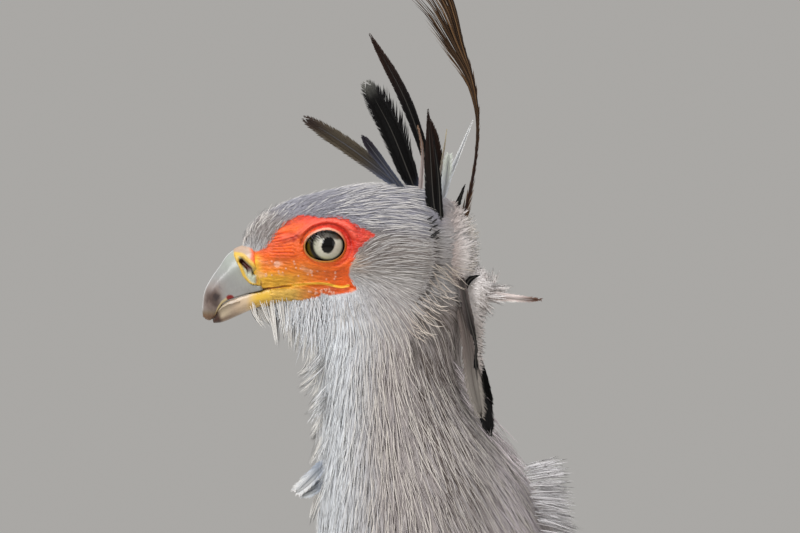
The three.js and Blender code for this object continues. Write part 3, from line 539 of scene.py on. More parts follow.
SCARLET = colour(226, 54, 32)
ROSE = colour(244, 100, 78)
ORANGE = colour(234, 92, 8)
AMBER = colour(240, 138, 34)
GOLD = colour(238, 192, 62)
# A dark red for painted shade: in the folds of the face, under the gape's roll and along the mouth.
CREASE_SHADE = colour(134, 28, 12)
LID_DARK = colour(24, 16, 10)
co = about_eyes(skin)
y, z = co[:, 1], co[:, 2]
ring = eye_ring(y, z)
mottle = waves(co, 5, 23)
face = mix(ORANGE, SCARLET, smooth(-16, 6, y + 1.5 * z - 8 + 3 * mottle))
face = layered(
    face,
    # Lighter rose along the raised brow: partly the skin's own colour, partly a painted highlight on the
    # roll. The mottled rose above it is its own colour.
    (ROSE, 0.6 * smooth(3.4, 0.8, from_line(BROW, y, z)) + 0.25 * smooth(0.2, 1.0, mottle) * (z > -4)),
    (AMBER, smooth(-4, -15, z) * smooth(10, -16, y + 3 * mottle) * 0.85),
    (mix(AMBER, GOLD, 0.75), smooth(-13.5, -19, z + 0.8 * mottle) * smooth(-6, -26, y)),
    (GOLD, smooth(-33, -39, y + mottle) * smooth(-3, -9, z) * 0.8),
    (mix(ORANGE, colour(214, 172, 76), smooth(2, -20, y + 2 * mottle)), smooth(-23.5, -24.5, z)),
    (colour(214, 96, 40), 0.5 * smooth(0.2, 0.9, waves(co, 3.5, 27)) * smooth(-23.5, -24.5, z)),
    (colour(255, 198, 58), smooth(1.0, 0.35, from_line(GAPE_ROLL, y, z)) * 0.95),
    # Painted shadow: a dark red line just under the roll of the gape.
    (
        CREASE_SHADE,
        smooth(1.3, 0.5, from_line(GAPE_ROLL, y, z + 1.6)) * smooth(-8, 4, y) * smooth(15, 11, y) * 0.35,
    ),
)
height = z - height_of(MOUTH, y)
# Painted shade along the groove of the mouth, fading towards the rear.
face = mix(face, CREASE_SHADE * 0.7, smooth(0.7, 0.2, np.abs(height - 0.1)) * smooth(-17, -25, y) * 0.9)
# Painted shade: darker red in the bottoms of the pleats in front of the eye.
face = mix(face, colour(206, 34, 14), 0.75 * pleat_shade)
# Painted shade along each fold of the face, darker for deeper folds.
for line, depth, half in CREASES:
    patchy = 0.75 + 0.35 * np.clip(waves(co, 4, 24), -1, 1)
    face = mix(
        face, CREASE_SHADE, min(0.9, 0.85 * depth) * patchy * smooth(1.1 * half, 0.1, from_line(line, y, z)),
    )
face = layered(
    face,
    (colour(220, 40, 26), smooth(1.16, 1.24, ring) * smooth(1.45, 1.3, ring) * smooth(2, 8, y) * 0.5),
    (LID_DARK, smooth(1.09, 1.03, ring)),
    # Painted shade: darker red in the dips of the fine relief on the upper face.
    (colour(196, 34, 12), 0.75 * smooth(-0.15, -0.9, grain) * smooth(-16, -6, z + 0.25 * y)),
)
# Painted light and shade: the face is lighter on the ridges of its folds and fine relief and darker in their
# furrows. The last term is its own mottling.
face = face * (1 + 0.25 * folds + 0.22 * grain + 0.07 * waves(co, 3.4, 25))[:, None]
glint = smooth(0.35, 0.9, waves(co, 1.9, 26)) * (0.35 + 0.65 * smooth(-4, -9, z)) * smooth(1.5, 1.7, ring)
face = mix(face, mix(colour(255, 150, 110), colour(252, 190, 150), smooth(-6, -12, z)), 0.45 * glint)
face = face * (1 - 0.13 * smooth(12, 18, y))[:, None]
face = mix(face, colour(252, 206, 184), 0.75 * bristle)
wart = smooth(1.3, 0.7, np.abs(np.hypot(y + 27.2, z + 10.6) - 0.9))
face = mix(face, colour(252, 196, 170), 0.6 * wart * smooth(2.2, 1.4, np.hypot(y + 27.2, z + 10.6)))
edge = face_margin(co)
bare = smooth(0.6, -0.6, edge) * (np.abs(co[:, 0]) > 3)
# Where feathered, the skin takes the markings 12 percent darker, as painted shade under the coat.
paint_points(skin, np.clip(mix(markings(co) * 0.88, face, bare), 0, 1))


def grained(material, texture, place, result, shades, rise, strength=0.9, full=1.0, by_shade=False):
    """Lets a texture shade a finish's tint, between two shares of it, and raise its surface by metres."""
    nodes, links = material.node_tree.nodes, material.node_tree.links
    links.new(place, texture.inputs["Vector"])
    shift = nodes.new("ShaderNodeMapRange")
    shift.inputs["From Max"].default_value = full
    shift.inputs["To Min"].default_value = shades[0]
    shift.inputs["To Max"].default_value = shades[1]
    links.new(texture.outputs[result], shift.inputs["Value"])
    vary = nodes.new("ShaderNodeMix")
    vary.data_type = "RGBA"
    vary.blend_type = "MULTIPLY"
    vary.inputs["Factor"].default_value = 1
    links.new(nodes["tint"].outputs["Color"], vary.inputs["A"])
    links.new(shift.outputs["Result"], vary.inputs["B"])
    links.new(vary.outputs["Result"], nodes["Principled BSDF"].inputs["Base Color"])
    bump = nodes.new("ShaderNodeBump")
    bump.inputs["Distance"].default_value = rise
    bump.inputs["Strength"].default_value = strength
    links.new(shift.outputs["Result"] if by_shade else texture.outputs[result], bump.inputs["Height"])
    links.new(bump.outputs["Normal"], nodes["Principled BSDF"].inputs["Normal"])


def finish(
    name, roughness, sheen=0.0, coat=0.0, specular=0.5, scale=None, relief=0.0, stretch=(1, 1, 1),
    rise=0.0006,
):
    """A finish of the piece's own tint, varied and roughened by fine noise where a scale is given."""
    material = bpy.data.materials.new(name)
    material.use_nodes = True
    nodes, links = material.node_tree.nodes, material.node_tree.links
    shader = nodes["Principled BSDF"]
    for socket, value in [
        ("Roughness", roughness), ("Sheen Weight", sheen), ("Coat Weight", coat), ("Coat Roughness", 0.05),
        ("Specular IOR Level", specular),
    ]:
        shader.inputs[socket].default_value = value
    tint = nodes.new("ShaderNodeAttribute")
    tint.name = "tint"
    tint.attribute_name = "tint"
    links.new(tint.outputs["Color"], shader.inputs["Base Color"])
    if scale:
        stretched = nodes.new("ShaderNodeMapping")
        stretched.inputs["Scale"].default_value = stretch
        links.new(nodes.new("ShaderNodeTexCoord").outputs["Object"], stretched.inputs["Vector"])
        noise = nodes.new("ShaderNodeTexNoise")
        noise.inputs["Scale"].default_value = scale
        noise.inputs["Detail"].default_value = 5
        grained(material, noise, stretched.outputs["Vector"], "Fac", (1 - relief, 1 + relief), rise)
    return material


def dress(piece, material, slot, *nodes):
    """Gives a piece its finish, hangs it from the root and hides the solids that it stands for. Its slot is
    not used.
    """
    piece.data.materials.append(material)
    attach(piece, "root")
    if nodes:
        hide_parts(*nodes)


hide = finish("bare_skin", 0.44, scale=620, relief=0.3, stretch=(1, 0.6, 1.3), rise=0.0011)
dress(skin, hide, "plumage", "head", "neck_upper", "neck_lower", "torso", "thigh_left", "thigh_right")

# The eyes: each a firm wet ball in a socket of its own, pale grey-green round a black pupil and ringed in
# black, with a painted shadow of the lid over its upper part.
IRIS_ROUND, IRIS_PLACE = 8.15, 0.75
SIDES = [("left", 1), ("right", -1)]
for name, side in SIDES:
    bpy.ops.object.select_all(action="DESELECT")
    bpy.ops.mesh.primitive_uv_sphere_add(segments=112, ring_count=72, radius=1)
    eye = bpy.context.object
    eye.name = "eyeball_" + name
    bpy.ops.object.mode_set(mode="EDIT")
    bpy.ops.transform.rotate(value=math.pi / 2, orient_axis="Y", center_override=(0, 0, 0))
    bpy.ops.object.mode_set(mode="OBJECT")
    ball = np.array([vertex.co for vertex in eye.data.vertices]) * EYE_ROUND
    y, z = ball[:, 1] - IRIS_PLACE, ball[:, 2]
    radius = np.hypot(y, z)
    ball[:, 0] += side * (np.sign(ball[:, 0]) == side) * 0.9 * smooth(8.6, 0, radius)
    angle = np.arctan2(z, y)
    streak = 0.5 + 0.5 * np.sin(angle * 37 + 2 * np.sin(angle * 11)) * np.sin(angle * 61)
    tone = mix(colour(214, 210, 196), colour(196, 196, 178), smooth(4.4, 7.0, radius))
    tone = layered(
        tone,
        (colour(166, 166, 148), 0.35 * streak),
        (colour(196, 190, 130), smooth(-5.6, -7.4, z) * smooth(5, -3, y) * 0.5),
        (colour(104, 104, 88), smooth(7.1, 8.0, radius) * 0.9),
    )
    # Painted shadow of the upper lid: the top of the iris darkened, and browner towards the rear.
    painted_lid_shadow = smooth(2.6, 4.1, z + 0.05 * y + 0.12 * np.sin(y * 1.7))
    lid_shade = mix(colour(118, 113, 106), colour(80, 76, 70), smooth(-2, 1.5, y))
    lid_shade = mix(lid_shade, colour(56, 50, 42), smooth(5.4, 7.4, z))
    tone = layered(
        tone,
        (lid_shade, 0.96 * painted_lid_shadow),
        (colour(84, 48, 26), painted_lid_shadow * smooth(3.0, 6.5, y) * 0.85),
        (colour(3, 3, 3), smooth(1.05, 0.98, np.hypot((y - 0.15 - 0.10 * z) / 3.65, (z + 0.1) / 4.45))),
        (colour(10, 8, 6), smooth(IRIS_ROUND - 0.3, IRIS_ROUND + 0.2, radius)),
        (colour(88, 72, 20), smooth(9.4, 10.6, radius) * smooth(-5, -8, y)),
    )
    paint_points(eye, tone)
    set_points(eye, ball + np.array([side * EYE_OUT, 0, 0]))
    eye.data.shade_smooth()
    dress(eye, finish("eye_" + name, 0.07, specular=0.3), "eye", "eye_" + name)

# The margins of the lids: a soft narrow rim round each eye that lies on the eyeball, black within, golden
# below and behind, pale salmon above, darker in the front corner.
for name, side in SIDES:
    bpy.ops.object.select_all(action="DESELECT")
    bpy.ops.mesh.primitive_torus_add(
        major_segments=144, minor_segments=18, major_radius=1, minor_radius=0.1,
    )
    rim = bpy.context.object
    rim.name = "lids_" + name
    ring_points = np.array([vertex.co for vertex in rim.data.vertices])
    turn = np.arctan2(ring_points[:, 1], ring_points[:, 0])
    thick = 10 * (np.hypot(ring_points[:, 0], ring_points[:, 1]) - 1)
    rise = 10 * ring_points[:, 2]
    front = smooth(0.0, -1.0, np.cos(turn))
    high = np.clip(np.sin(turn), 0, 1)
    wide = np.where(
        thick < 0, 0.5, 1.0 + 0.25 * high + 0.07 * np.sin(turn * 9 + 1) + 0.06 * np.sin(turn * 23),
    )
    ry = np.cos(turn) * (np.where(np.cos(turn) < 0, EYE_FRONT, EYE_REAR) + thick * wide)
    rz = np.sin(turn) * (EYE_HIGH + thick * wide) - EYE_DROP - 0.05 * np.maximum(-ry, 0)
    rx = on_eyeball(ry, rz, 0.5) + rise * 0.8 + high * (0.7 + 0.5 * smooth(-0.2, 0.8, thick))
    set_points(rim, np.stack([side * rx, ry, rz], axis=1))
    tone = mix(colour(222, 140, 26), colour(232, 158, 128), smooth(0.0, 0.5, np.sin(turn)))
    tone = layered(
        tone,
        (colour(206, 96, 30), smooth(0.2, 0.9, np.cos(turn)) * smooth(0.85, 0.4, high) * 0.6),
        (colour(150, 104, 50), front * (1 - high) * 0.75),
        (colour(220, 62, 36), smooth(0.45, 0.95, thick) * (1 - 0.7 * high)),
        (colour(10, 8, 6), smooth(-0.25, -0.7, thick)),
    )
    paint_points(rim, tone)
    rim.data.shade_smooth()
    outward(rim)
    dress(rim, finish("lid_" + name, 0.35, coat=0.25, scale=900, relief=0.12, rise=0.0003), "cere")
    draw = np.random.default_rng(77)
    turn = np.radians(np.linspace(152, 58, 24) + 1.2 * draw.normal(size=24))
    ry = np.cos(turn) * np.where(np.cos(turn) < 0, EYE_FRONT, EYE_REAR)
    rz = np.sin(turn) * EYE_HIGH - EYE_DROP - 0.05 * np.maximum(-ry, 0)
    size = (
        np.interp(turn, np.radians([58, 95, 120, 152]), [1.2, 2.0, 5.2, 4.4])
        * (0.7 + 0.5 * draw.random(24))
    )
    hairs = []
    for ly, lz, long, bend in zip(ry, rz, size, 0.15 * draw.normal(size=24)):
        t = np.linspace(0, 1, 6)
        py, pz = ly + long * (0.75 + bend) * t, lz - 0.25 - long * (0.9 * t - 0.12 * t**2)
        px = on_eyeball(py, pz, 1.5 + 0.6 * np.sin(np.pi * t)) + 0.5
        rows = np.stack([side * px, py, pz] + [0.27 * (1 - 0.6 * t)] * 3, axis=1)
        hairs.append(loft(rows, 10, 6, (side, 0, 0)))
    lashes = new_piece("lashes_" + name, *joined(hairs))
    lashes.data.shade_flat()
    paint_points(lashes, np.tile(colour(20, 14, 12), (len(lashes.data.vertices), 1)))
    dress(lashes, finish("lash_" + name, 0.5), "plumage")

# The bill: two halves of smooth horn, blue-grey and milky at the root, brown at the hook, the upper with a
# waxy yellow cere at its root that holds the slit of the nostril.
BILL_UPPER = [
    [0, -28, -13, 15, 14, 15], [0, -40, -12.5, 13, 13, 15.5], [0, -47, -14, 11.2, 12, 16],
    [0, -53, -18, 9.4, 9, 15], [0, -58, -22.5, 7.8, 7.2, 12], [0, -62, -28, 6.4, 6, 8.5],
    [0, -64.6, -34, 5, 4, 6], [0, -65.2, -38.2, 3.8, 3.2, 4.2], [0, -65.5, -40.2, 2.8, 2.5, 2.4],
    [0, -65.8, -41.1, 1.0, 1.2, 1.0],
]
BILL_LOWER = [
    [0, -30, -27.6, 11.4, 6, 5.0], [0, -42, -30.4, 9.8, 6, 5.0], [0, -50, -34.0, 7.8, 6, 4.8],
    [0, -55, -37.2, 6, 6, 4.0], [0, -59, -40.0, 4.2, 4, 2.8], [0, -61.3, -41.5, 2.6, 3.0, 1.6],
    [0, -62.5, -42.4, 0.9, 1.2, 0.6],
]
BILL_MOUTH = [
    (-62.2, -43.2), (-61.3, -39.4), (-59.9, -35.9), (-57.7, -32.6), (-54.4, -30.3), (-50, -28.9),
    (-41.6, -26.4), (-33, -24.2), (-24, -22.9), (-13, -21.9), (4, -22.4),
]
NOSTRIL = [(-39.9, -15.2), (-43.2, -12.4), (-46.9, -8.9)]
CERE_RIM = [
    (-50.6, -4.9), (-47.4, -12.2), (-45.2, -17.6), (-41.6, -21.6), (-37.2, -22.0), (-36.8, -18.0),
    (-39.0, -12.8), (-43.4, -8.2), (-46.6, -5.6), (-50.6, -4.9),
]


def mouth_at(y):
    return height_of(BILL_MOUTH, y)


def cere_front(y, z):
    """How far each place lies behind the rounded front edge of the cere."""
    return y - np.interp(
        z, [-30, -22.6, -21.2, -17.4, -11.6, -5.4, 2], [-34, -37.4, -42.4, -46.0, -48.5, -51.2, -52.5],
    )


points, faces = loft(BILL_UPPER, 150, 96, (-1, 0, 0), 2.0, 4.0)
held = points[:, 1] > -61.9
low = held & (points[:, 2] < mouth_at(points[:, 1]))
points[low, 2] = mouth_at(points[low, 1])
y, z = points[:, 1], points[:, 2]
far_out = np.abs(points[:, 0])
under = smooth(0.4, 2.4, cere_front(y, z))
blade = smooth(1.5, 0.4, np.abs(z - mouth_at(y) - 0.7)) * smooth(-63, -60, y) * smooth(-40, -50, y)
points[:, 0] *= 1 - 0.42 * under + 0.05 * blade
points[:, 2] -= 4 * under * (z > -14)
horn = new_piece("horn_upper", points, faces)
tone = mix(colour(164, 170, 164), colour(152, 150, 152), smooth(-9, -24, z + 0.5 * (y + 50)) * 0.7)
tone = mix(tone, colour(150, 134, 128), smooth(-53, -61, y) * smooth(-16, -25, z) * 0.7)
# Painted highlight: near white along the ridge of the upper bill.
tone = mix(tone, colour(238, 240, 242), smooth(3.4, 1.2, far_out) * smooth(-38, -33, z) * (y < -48))
cloud = waves(points * np.array([1, 1.3, 0.7]), 2.2, 31)
blot = smooth(1.5, 0.6, np.hypot((y + 62.6) / 4.8, (z + 30.6) / 6.6) + 0.25 * cloud)
tone = mix(tone, colour(122, 104, 96), 0.8 * blot)
tone = mix(tone, colour(70, 54, 50), blot * smooth(-0.15, 0.5, cloud) * 0.8)
blot = np.hypot((y + 60.4) / 2.3, (z + 28.6) / 2.4) + 0.5 * waves(points, 2.0, 35)
tone = mix(tone, colour(46, 38, 42), smooth(1.25, 0.6, blot) * 0.85)
speck = smooth(0.55, 0.9, waves(points, 1.1, 40)) * smooth(1.3, 0.7, np.hypot((y + 60) / 4, (z + 20.5) / 3))
tone = layered(
    tone, (colour(110, 100, 112), 0.6 * speck),
    # Painted highlight along the ridge of the hook.
    (colour(236, 232, 226), smooth(1.3, 0.2, far_out) * smooth(-40, -36, z) * (y < -60) * 0.8),
    (colour(124, 108, 82), smooth(-34.5, -38.0, z) * 0.8),
    (colour(112, 80, 56), smooth(-36.2, -39.6, z) * 0.9),
    (
        colour(206, 186, 134),
        smooth(1.5, 0.6, np.abs(z - mouth_at(y) - 0.9)) * smooth(-52, -56, y) * held * 0.85,
    ),
    (
        colour(128, 14, 8),
        smooth(1.25, 0.85, np.hypot((y + 53.2) / 2.0, (z + 28.9) / 1.5) + 0.12 * waves(points, 1.2, 36)),
    ),
    (colour(74, 56, 36), smooth(0.55, 0.0, np.abs(z - mouth_at(y))) * smooth(-62, -60, y) * 0.8),
)
paint_points(
    horn, np.clip(tone * (1 + 0.11 * waves(points * np.array([1, 1.6, 0.8]), 2.6, 32))[:, None], 0, 1),
)
points, faces = loft(BILL_LOWER, 130, 96, (-1, 0, 0), 3.0, 2.0)
y = points[:, 1]
shelf = mouth_at(np.maximum(y, -61.6)) - 0.3 + 0.7 * smooth(-57, -60, y) + 1.5 * smooth(-59.6, -61.4, y)
top = np.abs(np.tile(np.arange(96), 131) - 24) < 24
upper_half = np.append(top, [False, False])
points[:, 2] = np.where(
    upper_half, np.maximum(points[:, 2], shelf - 0.4 - 0.25 * np.abs(points[:, 0])), points[:, 2],
)
points[:, 2] = np.minimum(points[:, 2], shelf)
lower_horn = new_piece("horn_lower", points, faces)
y, z = points[:, 1], points[:, 2]
keel = np.interp(y, [-62, -58.5, -52.2, -45.9, -40.3], [-43, -42, -39.6, -37.1, -34.2])
tone = mix(colour(214, 190, 160), colour(172, 152, 134), smooth(-44, -54, y))
tone = layered(
    tone,
    (GOLD, smooth(-45, -38.5, y + 1.6 * waves(points, 5, 37)) * 0.95),
    (colour(120, 92, 70), smooth(2.2, 0.2, z - keel) * smooth(-42, -50, y) * 0.6),
    (colour(190, 178, 150), smooth(-50, -56, y) * smooth(0.5, 2.5, z - keel) * 0.5),
    (colour(60, 30, 18), smooth(-57.6, -60.4, y + 0.35 * (z + 38))),
    (colour(104, 84, 60), smooth(1.0, 0.2, shelf - z) * 0.6),
)
paint_points(lower_horn, np.clip(tone * (1 + 0.08 * waves(points, 2.0, 33))[:, None], 0, 1))

points, faces = loft(BILL_UPPER, 170, 160, (-1, 0, 0), 2.0, 4.0, grow=0.45)
y, z = points[:, 1], points[:, 2]
behind = cere_front(y, z)
slit = from_line(NOSTRIL, y, z)
rim = from_line(CERE_RIM, y, z)
sink = 4.2 * smooth(1.45, 0.75, slit) + 0.9 * smooth(2.6, 1.4, slit)
sink -= 0.75 * smooth(1.5, 0.3, rim)
sink += 2.8 * smooth(0.5, -0.7, behind)
sink += 3.4 * smooth(-40.2, -36.6, y + 0.25 * waves(points, 3, 38))
sink *= np.abs(points[:, 0]) > 2
points[:, 0] -= np.sign(points[:, 0]) * sink
points[:, 2] -= (
    (2.6 * smooth(0.6, -0.6, behind) + 2.0 * smooth(-40.5, -37, y)) * (np.abs(points[:, 0]) <= 9)
    * (z > -12)
)
low = points[:, 2] < mouth_at(points[:, 1])
points[low, 2] = mouth_at(points[low, 1])
cere = new_piece("waxy_cere", points, faces)
mesh = bmesh.new()
mesh.from_mesh(cere.data)
doomed = [v for v in mesh.verts if not -56.5 < (v.co.y - EYES.y) / MM < -36.2]
bmesh.ops.delete(mesh, geom=doomed, context="VERTS")
mesh.to_mesh(cere.data)
mesh.free()
co = about_eyes(cere)
y, z = co[:, 1], co[:, 2]
slit = from_line(NOSTRIL, y, z)
rim = from_line(CERE_RIM, y, z)
over = z - np.interp(y, [-50.6, -46.6, -43.4, -39, -36], [-5.2, -5.9, -8.6, -13.2, -17])
tone = mix(colour(184, 190, 170), colour(186, 160, 140), smooth(-0.6, 0.8, over))
tone = layered(
    tone,
    (colour(232, 214, 204), smooth(0.1, 0.9, waves(co, 2.4, 41)) * smooth(0, 1, over) * 0.7),
    (ORANGE, smooth(-43.6, -40.8, y + 1.8 * waves(co, 2.6, 39)) * smooth(0, 1, over) * 0.9),
    (mix(AMBER, GOLD, 0.7), smooth(-39.4, -38.2, y + 0.3 * waves(co, 2, 42)) * smooth(-9, -13, z)),
    (colour(224, 184, 74), smooth(1.7, 0.7, rim)),
    (colour(214, 170, 60), smooth(1.9, 0.9, slit) * 0.35),
    # Dark red-brown in the slit of the nostril: partly its own colour, partly painted shade of the hollow.
    (colour(88, 22, 8), smooth(1.4, 1.0, slit)),
    (colour(96, 98, 66), smooth(1.4, 1.0, slit) * smooth(2.8, 1.4, np.hypot(y + 40.2, z + 15.0))),
    # Painted highlight: a small pale glint in the nostril.
    (colour(250, 238, 216), smooth(0.55, 0.25, np.hypot(y + 41.2, z + 13.4))),
)
paint_points(cere, np.clip(tone * (1 + 0.12 * waves(co, 2.0, 34))[:, None], 0, 1))
gloss = finish("bill_horn", 0.3, coat=0.3, scale=700, relief=0.08, stretch=(1, 1, 0.4), rise=0.0002)
dress(horn, gloss, "horn", "bill_upper")
dress(lower_horn, gloss, "horn", "bill_lower")
dress(cere, finish("cere_wax", 0.42, coat=0.15, scale=900, relief=0.10, rise=0.0003), "cere", "cere")

# The fine coat of the head: short silky barbs over the crown and the cheeks, which sweep back from the
# bill and the eye, ash-blue above and paler beneath, with a curl of loose ones over the forehead.
skin_mesh = skin.data
skin_mesh.calc_loop_triangles()
SKIN = about_eyes(skin)
corners = np.zeros(len(skin_mesh.loop_triangles) * 3, int)
skin_mesh.loop_triangles.foreach_get("vertices", corners)
corners = corners.reshape(-1, 3)
SKIN_TREE = BVHTree.FromPolygons([tuple(p) for p in SKIN], [tuple(int(i) for i in t) for t in corners])
A, B, C = SKIN[corners[:, 0]], SKIN[corners[:, 1]], SKIN[corners[:, 2]]
AREAS = np.linalg.norm(np.cross(B - A, C - A), axis=1) / 2
CENTRES = (A + B + C) / 3


def on_skin(points):
    """The nearest places on the skin, and which way it faces there."""
    found = [SKIN_TREE.find_nearest(Vector(p)) for p in points]
    return np.array([f[0] for f in found]), np.array([f[1] for f in found])


def scatter(count, wanted):
    """Roots spread over the skin as thickly as wanted says, with the way the skin faces at each."""
    weight = AREAS * wanted(CENTRES)
    total = np.cumsum(weight)
    pick = np.searchsorted(total, (np.arange(count) + RNG.random(count)) / count * total[-1])
    pick = np.minimum(pick, len(total) - 1)
    s, t = RNG.random((2, count, 1))
    fold = s + t > 1
    s, t = np.where(fold, 1 - s, s), np.where(fold, 1 - t, t)
    roots = A[pick] + s * (B - A)[pick] + t * (C - A)[pick]
    return roots, on_skin(roots)[1]


def ways(x, y, z):
    """Directions of length one, from numbers or rows of numbers."""
    return unit(np.stack(np.broadcast_arrays(x, y, z), axis=-1))


def lie(points):
    """Which way the coat lies: back from the bill over the head, round the bare face and in a fan over the
    cheek, down the neck, rearward along the body."""
    x, y, z = points.T
    near = np.interp(
        y, [-44, -34, -24, -12, 2, 14, 28, 44], [1.7, 1.3, 0.9, 0.5, 0.08, -0.30, -0.34, -0.12],
    )
    far = np.interp(y, [-44, -30, -16, 4, 30, 56], [1.3, 0.62, 0.45, 0.2, 0.02, -0.25])
    top = np.interp(y, [-40, -26, -8, 6, 28], [-3, 5, 16, 16, 5])
    slope = near + (far - near) * smooth(1, 13, z - top)
    way = ways(0, 1, slope)
    cheek = (
        smooth(44, 16, np.hypot(y - 10, z + 14)) * smooth(5, 11, y) * smooth(7, 1, z - 0.2 * y)
    )[:, None]
    way = way * (1 - cheek) + ways(0, y - 2, z + 15) * cheek
    high = (
        np.interp(y, [-5, 22, 45, 70, 100], [-0.34, 0.0, 0.26, 0.42, 0.5])
        + 0.5 * smooth(-60, -36, z) * smooth(-4, 9, y)
    )
    deep = np.interp(y, [-5, 40, 80, 130], [-0.02, 0.1, 0.3, 0.5])
    drop = ways(0, deep + (high - deep) * smooth(-190, -115, z), -1)
    low = smooth(-8, -36, z + 0.45 * (y - 30) * (y > 30))[:, None]
    way = way * (1 - low) + drop * low
    body = ways(0, 1, -0.30 - 0.45 * smooth(60, 20, y))
    far = smooth(-300, -390, z - 0.5 * np.maximum(y - 40, 0))[:, None]
    way = way * (1 - far) + body * far
    low = (smooth(-485, -520, z) * smooth(260, 230, y))[:, None]
    return unit(way * (1 - low) + np.array([0, 0.06, -1]) * low)


def runs(roots, facing, length, stand, steps, swing=None):
    """Lines that start in the skin at each root and follow the lie of the coat, rising off the skin."""
    here, normal = roots.copy(), facing.copy()
    lines, normals = [here - 0.8 * normal], [normal.copy()]
    for step in range(steps):
        way = lie(here)
        if swing is not None:
            way = way + swing * (step + 1) / steps
        way = unit(way - normal * np.sum(way * normal, axis=1, keepdims=True))
        here, normal = on_skin(here + way * (length / steps)[:, None])
        share = (step + 1) / steps
        lines.append(here + normal * (stand * share**0.75)[:, None])
        normals.append(normal.copy())
    return np.stack(lines, axis=1), np.stack(normals, axis=1)


def unwrap(points):
    """Where each place lies on an unwrap of the skin: a band round the head and neck, one round the body,
    and one round each thigh."""
    x, y, z = points.T
    spine = np.interp(z, [-420, -300, -150, -60, 0, 40], [100, 85, 50, 40, 10, 0])
    u = 0.02 + 0.44 * (np.arctan2(x, spine - y) / (2 * np.pi) + 0.5)
    v = 0.02 + 0.96 * np.clip((z + 400) / 440, 0, 1)
    on_body = z < -345 + 0.4 * np.clip(y - 60, 0, 200)
    u = np.where(on_body, 0.50 + 0.28 * (np.arctan2(x, z + 410) / (2 * np.pi) + 0.5), u)
    v = np.where(on_body, 0.02 + 0.96 * np.clip((y + 10) / 1100, 0, 1), v)
    on_leg = (z < -480) & (y < 250)
    u = np.where(
        on_leg, 0.82 + 0.08 * (x > 0) + 0.07 * (np.arctan2(np.abs(x) - 50, y - 150) / (2 * np.pi) + 0.5), u,
    )
    v = np.where(on_leg, 0.02 + 0.96 * np.clip((z + 800) / 330, 0, 1), v)
    return np.stack([u, v], axis=1)


def sample(lines, share):
    """Places at each share, from 0 to 1, along lines given as rows of points."""
    spans = lines.shape[1] - 1
    at = np.clip(share, 0, 1) * spans
    i = np.minimum(at.astype(int), spans - 1)
    f = (at - i)[..., None]
    row = np.arange(len(lines))[:, None]
    return lines[row, i] * (1 - f) + lines[row, i + 1] * f


PATCH = 0.003


def coat_piece(name, points, faces, tones, patches, lay, facing):
    """One joined piece of a coat from arrays, with its colours, its places on the unwrap and which way it
    faces: fine threads take the light as the surface does that they cover."""
    mesh = bpy.data.meshes.new(name)
    mesh.vertices.add(len(points))
    mesh.vertices.foreach_set("co", place_points(points).astype(np.float32).ravel())
    mesh.loops.add(faces.size)
    mesh.loops.foreach_set("vertex_index", faces.astype(np.int32).ravel())
    mesh.polygons.add(len(faces))
    mesh.polygons.foreach_set("loop_start", np.arange(0, faces.size, 3, dtype=np.int32))
    mesh.polygons.foreach_set("use_smooth", np.ones(len(faces), bool))
    mesh.update(calc_edges=True)
    layer = mesh.uv_layers.new(name="OFBake")
    layer.data.foreach_set("uv", patches[faces.ravel()].astype(np.float32).ravel())
    piece = bpy.data.objects.new(name, mesh)
    bpy.context.scene.collection.objects.link(piece)
    paint_points(piece, np.clip(tones, 0, 1))
    attribute = mesh.attributes.new("lay", "FLOAT_VECTOR", "POINT")
    attribute.data.foreach_set("vector", lay.astype(np.float32).ravel())
    mesh.normals_split_custom_set_from_vertices(facing.tolist())
    return piece


def tapered(ring, tips, hand):
    """Points and triangles of closed strips, each with a ring of points at every step and one at its tip.
    hand is 1 or -1, as the ring runs."""
    count, rings, sides = ring.shape[:3]
    points = np.concatenate([ring[:, :-1].reshape(count, -1, 3), tips[:, None]], axis=1)
    size = points.shape[1]
    template = [(0, j, j + 1) for j in range(1, sides - 1)]
    for i in range(rings - 2):
        for j in range(sides):
            a, b = sides * i + j, sides * i + (j + 1) % sides
            template += [(a, b + sides, b), (a, a + sides, b + sides)]
    for j in range(sides):
        template.append((sides * (rings - 2) + j, size - 1, sides * (rings - 2) + (j + 1) % sides))
    faces = (np.array(template)[None, :, ::hand] + (np.arange(count) * size)[:, None, None]).reshape(-1, 3)
    return points.reshape(-1, 3), faces


def barbs(lines, normals, width, roots, tones, tip_tones, thick=0.35, soft=1.0):
    """Closed three-sided threads along the lines, finest at the tip, as arrays for coat_piece."""
    count, rings = lines.shape[:2]
    ahead = unit(np.gradient(lines, axis=1))
    across = unit(np.cross(normals, ahead))
    share = np.linspace(0, 1, rings)
    taper = (1 - 0.25 * share - 0.6 * share**4) * np.minimum(1, 0.5 + 3 * share)
    half = width[:, None, None] * 0.5 * taper[None, :, None]
    up = np.cross(ahead, across)
    ring = np.stack([lines - across * half, lines + across * half, lines + up * half * thick * 2], axis=2)
    points, faces = tapered(ring, lines[:, -1], -1)
    own = np.stack([-across, across, up], axis=2)
    facing = unit(soft * normals[:, :, None] + (1 - 0.65 * soft) * own)
    facing = np.concatenate([facing[:, :-1].reshape(count, -1, 3), facing[:, -1:, 2]], axis=1)
    along = np.append(np.repeat(share[:-1], 3), 1)
    shade = tones[:, None] * (1 - along[None, :, None]) + tip_tones[:, None] * along[None, :, None]
    # Painted shade: each thread a little darker towards its root, where it lies under the others.
    shade = shade * (0.92 + 0.08 * np.minimum(1, along * 2.5))[None, :, None]
    spot = np.stack([np.append(np.tile([0, 1, 0.5], rings - 1), 0.5), along], axis=1)
    patches = unwrap(roots)[:, None] + (spot[None] - 0.5) * PATCH
    return points, faces, shade.reshape(-1, 3), patches.reshape(-1, 2), 0 * points, facing.reshape(-1, 3)


COAT_LIMIT = 190000


